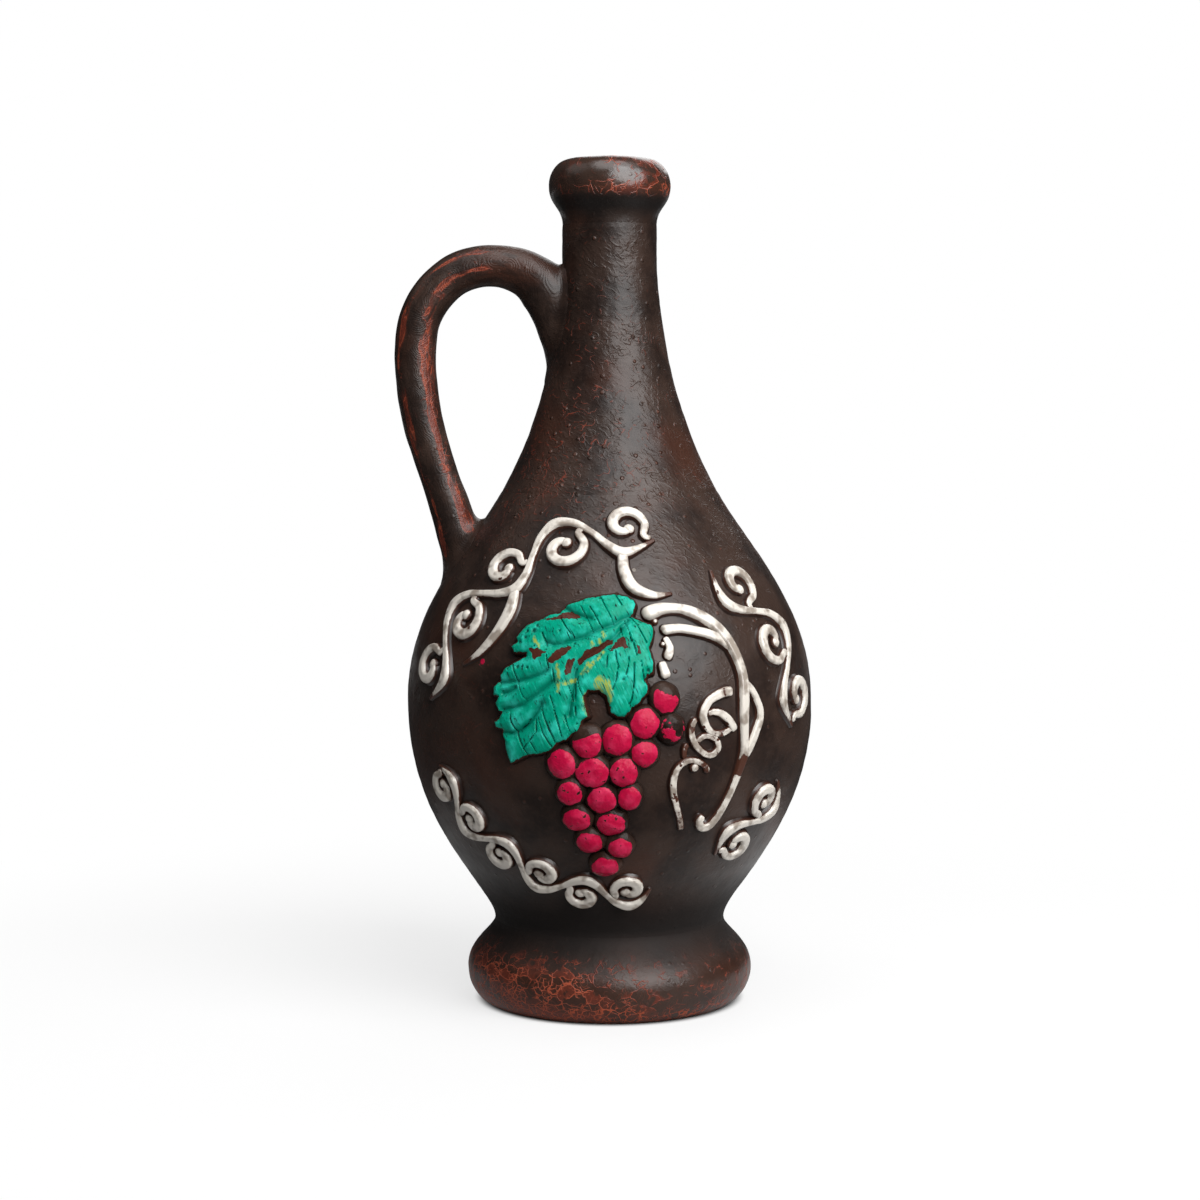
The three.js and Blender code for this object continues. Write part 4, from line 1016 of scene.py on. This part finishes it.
leaf_cracks = [
    [(-2.9, 33.2), (-1.5, 30.7), (0.5, 27.6), (1.3, 25.9)],
    [(-8.5, 30.5), (-6.5, 27.8), (-5.3, 25.6), (-4.5, 24.3)],
    [(-5.8, 30.4), (-4.3, 28.6), (-2.8, 26.2), (-1.8, 25.2)], [(1.6, 33.8), (3.6, 30.7)],
    [(5.9, 28.1), (7.7, 25.8), (9, 23.4), (10.2, 21.3)], [(4.2, 27.1), (5.4, 24.4), (5.9, 21.9)],
    [(3.1, 25.1), (3.4, 23.3)], [(6.5, 21.2), (7.3, 18.2)], [(1.6, 19.3), (1.9, 16.8), (2.5, 15.1)],
    [(5.1, 17.8), (4.9, 15.5), (4.3, 13.5)], [(-0.6, 18.2), (-0.7, 15.3)],
    [(6.5, 16.3), (6.3, 11.3), (5.7, 7.4), (5.2, 6.2)], [(8.3, 16.8), (8.8, 13.8), (9.2, 11.5)],
    [(-8.4, 12.3), (-7.8, 10), (-6.8, 8.1)], [(2.2, 15.3), (1.8, 12.3), (0.8, 9.8)],
    [(-25.2, 12), (-24.1, 10.1), (-22.7, 7.3), (-22, 6.7)], [(-18.5, 2.3), (-17, -1.8), (-15, -5.1)],
    [(-17.8, 5.5), (-16.8, 2.5), (-15.1, -1.3), (-13.9, -4.2)],
    [(-15.4, 8), (-14.3, 5.3), (-13.1, 0.9), (-12.2, -2.6)], [(-8.8, 11.6), (-8.7, 6.5)],
    [(-8.8, 5.4), (-8.6, 3.2)], [(-10.6, 10.5), (-9.3, 6.6)], [(-11.6, 3.1), (-10.1, -1.2)],
    [(-26.4, 3.4), (-25.8, 0.7), (-24.5, -1.7), (-22.6, -5.5), (-21.6, -7.5)],
    [(-19, 1.9), (-18.9, -1.4), (-21, -4), (-23, -6.4)], [(-20.5, -4.1), (-19.1, -6.6)],
    [(-20.8, 1.7), (-21.6, 0.3)], [(-21.9, 0.1), (-23.5, -1.2)], [(-27.8, 15.1), (-27.9, 14.2)],
    [(-26.5, 15.3), (-25.7, 13.5), (-24.5, 10.8)], [(-18.9, 23.6), (-17.1, 20.4)],
    [(-13.9, 27.3), (-12.3, 25.3), (-10.7, 23.5)], [(-17, 18.2), (-16.3, 15)], [(-15, 14.5), (-14.5, 11.2)]]
leaf_worn = [
    [(-8.3, 15.8), (-8.3, 17), (-7.1, 18.6), (-5.6, 19.7), (-1.4, 21.2), (-0.4, 22.2), (0.8, 22.1),
     (0.8, 21.4), (-1.1, 20.3), (-3.2, 18.8), (-4.9, 18.1), (-6.9, 17.3), (-7.2, 16.1)],
    [(0.2, 19.4), (1.6, 21.2), (2.7, 22.7), (4, 23.1), (4.3, 21.2), (4.7, 20.3), (4.2, 19.6), (3.5, 20.6),
     (2.4, 20.5), (1.6, 19.6)],
    [(-16.6, 16.7), (-14.8, 18.7), (-13.9, 19.7), (-10.8, 20.4), (-10.3, 20.1), (-11.6, 18.6),
     (-14.9, 16.1)],
    [(-22.2, 19.6), (-19.5, 19.7), (-17.3, 18.9), (-18.2, 18.3), (-20.2, 17), (-21, 18.5)],
    [(-18.5, 26.9), (-15.2, 27.7), (-13.2, 28.8), (-11.2, 29.1), (-9.3, 28.6), (-8.6, 27.9), (-9.8, 27.4),
     (-13.6, 27.3), (-16.4, 26.8)],
    [(-11.4, 13.2), (-11.5, 15.2), (-11, 16.7), (-9.6, 17.7), (-9.2, 17.6), (-9.8, 15.3), (-10.4, 13.8)],
    [(7.4, 20.4), (8, 20.4), (8.3, 18.8), (7.6, 18.6)]]
leaf_pits = [
    (3.6, 12.3, 0.7), (10.2, 14.5, 1), (3.1, 25.2, 0.45), (-9.5, 21.2, 0.4), (6, 21.9, 0.6),
    (-20.7, 25.3, 0.8), (-21.4, 24.1, 1.2), (-23.4, 23.9, 0.8), (-23.7, 22.3, 0.8), (-13.9, 24.2, 0.5),
    (-25.3, 21.2, 0.7), (-22.1, 14.8, 0.5), (-25, 14.9, 0.8), (5.1, 6.2, 0.5), (-8.3, 1, 0.4)]
leaf_yellow = [
    [(-3.9, 12), (-2.5, 13.1), (-1.3, 12.9), (0, 11.8), (0.5, 10.1), (0.8, 8.6), (0.2, 6.3), (-0.7, 8.6),
     (-1.9, 9.5), (-3.4, 10.1)],
    [(-6.8, 8.1), (-5.9, 8.7), (-6.1, 6.3), (-5.6, 3), (-6.7, 4.8)]]
yellow_strokes = [
    [(-5.5, 16.2), (-7.1, 13.6)], [(-3.8, 17.1), (-5.9, 14.1)], [(-1.5, 19.1), (-3.2, 17.1)],
    [(-13.9, 15.8), (-13.1, 12.4)], [(-20.9, 22.1), (-19.4, 20)], [(-13.6, 12.4), (-13, 9.3)],
    [(-11.7, 11), (-8.8, 12.2)], [(-4.7, 21.6), (-4.5, 20)], [(-2.8, 22.2), (-2.7, 21.5)],
    [(-1.9, 24.3), (-1.6, 23)]]


def to_segments(lines, closed=False):
    """Pairs of ends for every straight piece of the lines."""
    starts, ends = [], []
    for line in lines:
        starts += line if closed else line[:-1]
        ends += [*line[1:], line[0]] if closed else line[1:]
    return np.array(starts, float), np.array(ends, float)


def distance_to(points, lines, closed=False):
    """Each point's distance to the nearest of the lines, in millimetres."""
    nearest = np.full(len(points), 99.0)
    for start, end in zip(*to_segments(lines, closed)):
        run = end - start
        share = np.clip(((points - start) @ run) / (run @ run), 0, 1)
        nearest = np.minimum(nearest, np.linalg.norm(points - start - share[:, None] * run, axis=1))
    return nearest


def inside(points, outline):
    """Whether each point lies inside a closed outline."""
    within = np.zeros(len(points), bool)
    for (x0, y0), (x1, y1) in zip(outline, [*outline[1:], outline[0]]):
        crosses = (y0 > points[:, 1]) != (y1 > points[:, 1])
        if y0 != y1:
            within ^= crosses & (points[:, 0] < x0 + (points[:, 1] - y0) * (x1 - x0) / (y1 - y0))
    return within


def depth_inside(points, outlines):
    """How deep each point lies inside any of the outlines, and less than none outside them."""
    edge = distance_to(points, outlines, closed=True)
    within = np.any([inside(points, outline) for outline in outlines], axis=0)
    return np.where(within, edge, -edge)


def leaf_places(piece):
    """Each point's place on the belly, in millimetres across and up."""
    across, up, _ = points_of(piece).T
    heights_there = np.interp(up, sheet_rise, sheet_heights)
    return np.stack([across / MM, (heights_there - belly_widest_height) / MM], axis=1)


def dip(distance, reach, power=2):
    """A smooth dip, 1 on a line and none a few reaches away from it."""
    return np.exp(-(distance / reach) ** power)


# A fine grid over the leaf's bounds keeps only the cells near the leaf and is drawn out to a slab.
low, high = on_sheet(-34, -12), on_sheet(15, 36)
width, height = high[0] - low[0], high[1] - low[1]
bpy.ops.mesh.primitive_grid_add(x_subdivisions=round(width / leaf_cell),
                                y_subdivisions=round(height / leaf_cell), size=1)
leaf = bpy.context.object
leaf.name = "vine_leaf_pressed"
bpy.ops.object.mode_set(mode="EDIT")
bpy.ops.transform.resize(value=(width, height, 1))
bpy.ops.transform.translate(value=((low[0] + high[0]) / 2, (low[1] + high[1]) / 2, -slab_below))
bpy.ops.mesh.select_all(action="DESELECT")
bpy.ops.object.mode_set(mode="OBJECT")
outside = depth_inside(leaf_places(leaf), [leaf_outline]) < -leaf_margin - 0.3
for polygon in leaf.data.polygons:
    polygon.select = bool(all(outside[list(polygon.vertices)]))
bpy.ops.object.mode_set(mode="EDIT")
bpy.ops.mesh.select_mode(type="FACE")
bpy.ops.mesh.delete(type="FACE")
bpy.ops.mesh.select_all(action="SELECT")
bpy.ops.mesh.extrude_region_move(TRANSFORM_OT_translate={"value": (0, 0, slab_thickness)})
bpy.ops.object.mode_set(mode="OBJECT")

# Its top rises in puffs between the veins, sinks along veins, cracks and pits, and rounds off to the wall.
places = leaf_places(leaf)
edge_depth = depth_inside(places, [leaf_outline])
vein_distance = distance_to(places, leaf_veins)
crack_distance = distance_to(places, leaf_cracks)
crack_width = 0.1 + 0.06 * np.sin(places[:, 0] * 1.9 + places[:, 1] * 1.3)
pit_distance = np.min([np.hypot(places[:, 0] - x, places[:, 1] - y) / r for x, y, r in leaf_pits], axis=0)
puffed = np.clip(np.minimum(vein_distance, edge_depth + 1) / leaf_puff_reach, 0, 1)
rise = leaf_edge_rise + leaf_puff * np.sin(puffed * math.pi / 2)
rise -= vein_groove[0] * dip(vein_distance, vein_groove[1])
rise -= crack_groove * dip(crack_distance, crack_width + 0.04)
rise -= pit_hollow[0] * dip(pit_distance, pit_hollow[1])
flank = np.clip((edge_depth + leaf_margin) / (leaf_margin + leaf_flank), 0, 1)
rounded = flank_foot + (rise - flank_foot) * np.sqrt(1 - (1 - flank) ** 2)
rise = np.where(edge_depth > leaf_flank, rise, rounded)
points = points_of(leaf)
points[:, 2] = np.where(points[:, 2] > 0, rise * MM * sheet_scale(points[:, 1]), points[:, 2])
move_points(leaf, points)
for name, values in {
        "edge_depth": edge_depth,
        "crack": np.maximum(dip(crack_distance, crack_width), 0.8 * dip(pit_distance, 0.5, 4)),
        "vein": dip(vein_distance, 0.9),
        "worn": depth_inside(places, leaf_worn),
        "yellow": np.maximum(depth_inside(places, leaf_yellow),
                             0.35 - distance_to(places, yellow_strokes))}.items():
    keep_values(leaf, name, values)
close_mesh()
lay_on_belly(leaf)

# Teal paint, brushed thickly on to clay: a flat blue-green with a low shine, in light and dark brush strokes,
# split by dark cracks and worn through to brown clay. Real bristles leave strokes of about 0.2 mm, which are
# drawn at 0.5 mm, so that they show.
leaf_colours = {"teal": "#009578", "light": "#2cbfaa", "deep": "#015c4a", "crack": "#05201b",
                "yellow": "#9aa540", "worn": "#4a261d"}
painted_leaf, add, leaf_skin = new_material("teal_paint_on_clay")
leaf_clay, _, leaf_grain = fired_clay(add, leaf_skin, 0.05, 0.1)
edge_here, crack_here, vein_here, worn_here, yellow_here = (
    add("Attribute", attribute_name=name, out="Fac")
    for name in ("edge_depth", "crack", "vein", "worn", "yellow"))
torn, cloud = (add("TexNoise", {"Vector": leaf_skin, "Scale": 1 / (size * MM), "Detail": detail})
               for size, detail in ((1.2, 4), (3.4, 5)))
strokes = add("Mapping", {"Vector": leaf_skin, "Rotation": (0, math.radians(-24), 0), "Scale": (1, 1, 11)},
              vector_type="TEXTURE")
strokes = add("TexNoise", {"Vector": strokes, "Scale": 1 / (0.5 * MM), "Detail": 1})
pale_strokes = add("MapRange", {0: strokes, 1: 0.34, 2: 0.26, 4: 0.7}, **SOFT)
cloud = add("MapRange", {0: cloud, 1: 0.44, 2: 0.74}, **SOFT)
cloud = add("Math", {0: cloud, 1: pale_strokes}, **MOST)
deep_strokes = add("MapRange", {0: strokes, 1: 0.54, 2: 0.64, 4: 0.4}, **SOFT)
vein_shade = add("Math", {0: vein_here, 1: 0.6}, **TIMES)
vein_shade = add("Math", {0: vein_shade, 1: deep_strokes}, **MOST)
gold = add("Math", {0: torn, 1: 1.6, 2: yellow_here}, **TIMES_PLUS)
gold = add("MapRange", {0: gold, 1: 0.4, 2: 1.1, 4: 0.9}, **SOFT)
scratchy = add("MapRange", {0: strokes, 1: 0.6, 2: 0.48, 3: 0.2}, **SOFT)
gold = add("Math", {0: gold, 1: scratchy}, **TIMES)
splits = add("MapRange", {0: strokes, 1: 0.69, 2: 0.74}, **SOFT)
splits = add("Math", {0: splits, 1: crack_here}, **MOST)
bare = add("Math", {0: torn, 1: 1.5, 2: worn_here}, **TIMES_PLUS)
bare = add("MapRange", {0: bare, 1: 0.6, 2: 0.7}, **SOFT)
on_leaf = add("Math", {0: torn, 1: 1.0, 2: edge_here}, **TIMES_PLUS)
rim = add("MapRange", {0: on_leaf, 1: -0.3, 2: 0.3, 4: 0.6}, **SOFT)
on_leaf = add("MapRange", {0: on_leaf, 1: 0.42, 2: 0.54}, **SOFT)
teal = leaf_colours["teal"]
for share, tone in ((cloud, "light"), (vein_shade, "deep"), (gold, "yellow"), (splits, "crack"),
                    (bare, "worn")):
    teal = add("Mix", {0: share, 6: teal, 7: leaf_colours[tone]}, **RGB)
# Painted shade: the leaf's own dark clay, seen round its edge where it meets the wall, is mixed six tenths
# toward near-black, then its rim is tinted worn brown and the teal laid over.
for share, tone in ((0.6, clay_colours["painted_shade"]), (rim, leaf_colours["worn"]), (on_leaf, teal)):
    leaf_clay = add("Mix", {0: share, 6: leaf_clay, 7: tone}, **RGB)
thick = leaf_grain
for mark, mark_rise in ((strokes, 0.09), (splits, -0.2), (on_leaf, 0.15), (bare, -0.15)):
    thick = add("Math", {0: mark, 1: mark_rise * MM, 2: thick}, **TIMES_PLUS)
surface(add, leaf_clay, 0.32, thick, **{"Specular IOR Level": 0.14})
dress(leaf, painted_leaf, "vessel", "leaf_paint", "vine_leaf")

# Vine scroll
# Four bands of running scroll round the leaf and the bunch: a waving stem with a curl and a bud in every
# hollow, trailed in slip and brushed with silver-white enamel like the canes.

scroll_rise = 1.8 * MM
scroll_centre = (1, 1.5)
scroll_across = 60
scroll_up = 49
scroll_bands = {"upper_right": (-6, 52, 3), "upper_left": (73, 177, 5),
                "lower_left": (198, 284, 6), "lower_right": (307, 337, 2)}
wave_share = 0.38
stroke_width = 1.9
stroke_swell = 0.9
curl_steps = 9
curl_turns = 0.95
curl_lead = 0.08
curl_start, curl_end = 0.35, 0.1
curl_offset = 0.13
curl_branch = 0.42
bud_half_width = 1.75


def oval_point(angle):
    """A point of the oval that the bands follow, on the sheet."""
    turn = math.radians(angle)
    across = scroll_centre[0] + scroll_across * math.cos(turn)
    return Vector(on_sheet(across, scroll_centre[1] + scroll_up * math.sin(turn)))


def beside_oval(angle, along_oval, outward_from_oval):
    """Millimetres across and up the belly, at real distances along and outward from a point of the oval."""
    centre = oval_point(angle)
    tangent = (oval_point(angle + 0.5) - oval_point(angle - 0.5)).normalized()
    step = tangent * along_oval + Vector((tangent.y, -tangent.x)) * outward_from_oval
    place = centre + step * float(sheet_scale(centre.y))
    return place.x / MM, (float(np.interp(place.y, sheet_rise, sheet_heights)) - belly_widest_height) / MM


def scroll_piece(name, lines_and_buds):
    """Joins trails and buds of scroll into one enamelled piece that stands for the solid of this name."""
    piece = join(name + "_trailed", lines_and_buds)
    dress(piece, silver_enamel, "vessel", "silver_paint", name)


stem_lines = {}
for band, (start, end, curls) in scroll_bands.items():
    degrees = np.arange(start, end + 1)
    round_oval = [oval_point(d) for d in degrees]
    real_steps = [(b - a).length / float(sheet_scale((a.y + b.y) / 2))
                  for a, b in zip(round_oval, round_oval[1:])]
    reached = np.concatenate([[0], np.cumsum(real_steps)])
    cell = reached[-1] / curls
    wave = cell * wave_share
    stem_line = []
    for quarter_cell in range(4 * curls + 1):
        angle = np.interp(cell * quarter_cell / 4, reached, degrees)
        wave_here = math.sin(math.pi * quarter_cell / 4)
        from_end = min(quarter_cell, 4 * curls - quarter_cell)
        swell = stroke_width + stroke_swell * abs(wave_here) ** 2
        swell *= 0.45 + 0.55 * min(1, from_end / 1.5)
        stem_line.append((*beside_oval(angle, 0, -wave * wave_here), swell))
    stem_lines[band] = stem_line
    scroll_piece(f"scroll_stem_{band}", [trail("stem_line", stem_line, scroll_rise)])
    for number in range(curls):
        side = 1 if number % 2 == 0 else -1
        angle = np.interp(cell * (number + 0.5), reached, degrees)
        root = beside_oval(angle, -curl_branch * cell, -side * wave * math.cos(curl_branch * math.pi))
        curl_line = [(*root, 1.7)]
        for i in range(curl_steps + 1):
            turned = (curl_turns * i / curl_steps - curl_lead) * 2 * math.pi
            radius = cell * (curl_start + (curl_end - curl_start) * i / curl_steps)
            out = side * (cell * curl_offset + radius * math.sin(turned))
            curl_line.append((*beside_oval(angle, -radius * math.cos(turned), out),
                              stroke_width + stroke_swell * math.sin(math.pi * i / curl_steps)))
        bud = bud_at("curl_bud", *curl_line[-1][:2], bud_half_width, scroll_rise)
        scroll_piece(f"scroll_curl_{band}_{number + 1}", [trail("curl_line", curl_line, scroll_rise), bud])

# Two loose tendrils leave the upper left stem at these quarters of its cells, and run free below it.
free_tendrils = [
    (10, [(0, 0, 2.4), (0.3, -5.5, 3), (-2.5, -11.5, 2.6), (-7.5, -17, 1.9), (-13.5, -20.5, 0.8)]),
    (2, [(0, 0, 2.4), (0.4, -5, 2.9), (3, -9, 3), (9, -11, 2.2), (16, -10.5, 0.8)])]
for number, (quarter_cell, line) in enumerate(free_tendrils):
    start = stem_lines["upper_left"][quarter_cell]
    route = [(start[0] + across, start[1] + up, width) for across, up, width in line]
    scroll_piece(f"free_tendril_{number + 1}", [trail("free_line", route, scroll_rise)])

# Studio
# A white floor and backdrop, a large soft light to the right and lesser ones above, to the left and behind,
# and a camera in front, a little above the bottle's middle and tipped down. The clay's sheen mirrors the
# floor and the room only where the photograph's does, so that its dark places stay dark.

camera_distance = 724.8 * MM
camera_height = 168.7 * MM
camera_tilt = math.radians(4.24)
camera_turn = math.radians(0.215)
camera_lens = 75.9
camera_sensor = 36
floor_radius = 3.0
studio_colours = {"white": "#ffffff", "paper": "#858585", "paper_in_gloss": "#444444"}


def soft_light(name, azimuth, elevation, distance, size, power):
    """A large soft light aimed at the bottle from a direction seen from the camera."""
    a, e = math.radians(azimuth), math.radians(elevation)
    target = Vector((0, 0, bottle_height / 2))
    away_from = Vector((math.sin(a) * math.cos(e), -math.cos(a) * math.cos(e), math.sin(e)))
    bpy.ops.object.light_add(type="AREA", location=target + away_from * distance)
    light = bpy.context.object
    light.name = name
    light.data.shape = "ELLIPSE"
    light.data.size, light.data.size_y = size
    light.data.energy = power
    light.rotation_euler = away_from.to_track_quat("Z", "Y").to_euler()


def straight_rays(add, gloss):
    """How far a ray sees the plain white: always straight from the camera, and in gloss by this share."""
    sight = add("LightPath", out="Is Camera Ray")
    through = add("LightPath", out="Is Transmission Ray")
    direct = add("Math", {0: sight, 1: through}, **MOST)
    return add("Math", {0: direct, 1: gloss}, **MOST)


for light in (("key_softbox", 36, 33, 1.2, (1.25, 1.35), 22), ("top_softbox", 12, 75, 1.0, (0.9, 0.7), 4),
              ("left_fill", -85, 50, 1.2, (0.8, 0.6), 0.5), ("back_light", 165, 35, 1.2, (0.8, 0.8), 3.2)):
    soft_light(*light)

# White seamless paper: matt, with a soft shadow under the foot and a painted contact shadow round its edge,
# where the paper's glow fades out, and burnt out to plain white further off.
bpy.ops.mesh.primitive_circle_add(vertices=96, radius=floor_radius, fill_type="NGON", location=(0, 0, 0))
floor = bpy.context.object
floor.name = "studio_floor"
white_floor, add, floor_place = new_material("white_paper_floor")
out_from = add("VectorMath", {0: floor_place}, operation="LENGTH", out=1)
right, back = (add("SeparateXYZ", {0: floor_place}, out=axis) for axis in (0, 1))
in_gloss = add("LightPath", out="Is Glossy Ray")
close = add("MapRange", {0: out_from, 1: 0.13, 2: 0.2, 3: 1, 4: 0}, **SOFT)
beside = add("MapRange", {0: back, 1: -0.1, 2: -0.01}, **SOFT)
# Painted shadow in reflections: the floor's white reaches the clay's gloss at four tenths on the left, as if
# the bottle shaded the floor there.
shaded_left_in_gloss = add("MapRange", {0: right, 1: -0.08, 2: 0.08, 3: 0.4}, **SOFT)
for share in (close, shaded_left_in_gloss):
    beside = add("Math", {0: beside, 1: share}, **TIMES)
mirrored = add("MapRange", {0: back, 1: 1, 2: 2.2}, **SOFT)
mirrored = add("Math", {0: mirrored, 1: beside}, **MOST)
mirrored = add("Math", {0: in_gloss, 1: mirrored}, **TIMES)
tone = add("Mix", {0: in_gloss, 6: studio_colours["paper"], 7: studio_colours["paper_in_gloss"]}, **RGB)
paper = add("BsdfDiffuse", {"Color": tone})
# Painted contact shadow: the paper's glow fades to nothing just round the foot.
glow_past_painted_shadow = add("MapRange", {0: out_from, 1: standing_radius + 1.5 * MM, 2: standing_radius + 5.5 * MM, 3: 0,
                         4: 0.72}, **SOFT)
glow = add("Emission", {"Color": studio_colours["white"], "Strength": glow_past_painted_shadow})
near_floor = add("AddShader", {0: paper, 1: glow})
backdrop = add("Emission", {"Color": studio_colours["white"], "Strength": 1.0})
away = add("MapRange", {0: out_from, 1: 0.09, 2: 0.31}, **SOFT)
seen_floor = add("MixShader", {0: away, 1: near_floor, 2: backdrop})
shown = add("MixShader", {0: straight_rays(add, mirrored), 1: paper, 2: seen_floor})
add("OutputMaterial", {"Surface": shown})
floor.data.materials.append(white_floor)

# The room round it: dim white light on the bottle, and a white wall to the eye and in gloss straight behind.
world = bpy.data.worlds.new("white_studio")
bpy.context.scene.world = world
world.use_nodes = True
world.node_tree.nodes.clear()
add = partial(add_node, world)
facing = add("TexCoord", out="Generated")
facing = add("SeparateXYZ", {0: facing}, out=1)
behind = add("MapRange", {0: facing, 1: 0.965, 2: 0.997}, **SOFT)
in_gloss = add("LightPath", out="Is Glossy Ray")
dim = add("MapRange", {0: in_gloss, 3: 0.16, 4: 0.03})
mirrored = add("Math", {0: in_gloss, 1: behind}, **TIMES)
room = add("Background", {"Color": studio_colours["white"], "Strength": dim})
white = add("Background", {"Color": studio_colours["white"], "Strength": 1.0})
sky = add("MixShader", {0: straight_rays(add, mirrored), 1: room, 2: white})
add("OutputWorld", {"Surface": sky})

bpy.ops.object.camera_add(location=(0, -camera_distance, camera_height),
                          rotation=(math.pi / 2 - camera_tilt, 0, camera_turn))
camera = bpy.context.object
camera.name = "photo_view"
camera.data.lens = camera_lens
camera.data.sensor_width = camera_sensor
camera.data.clip_start = 0.01
bpy.context.scene.camera = camera
bpy.context.scene.view_settings.view_transform = "Standard"
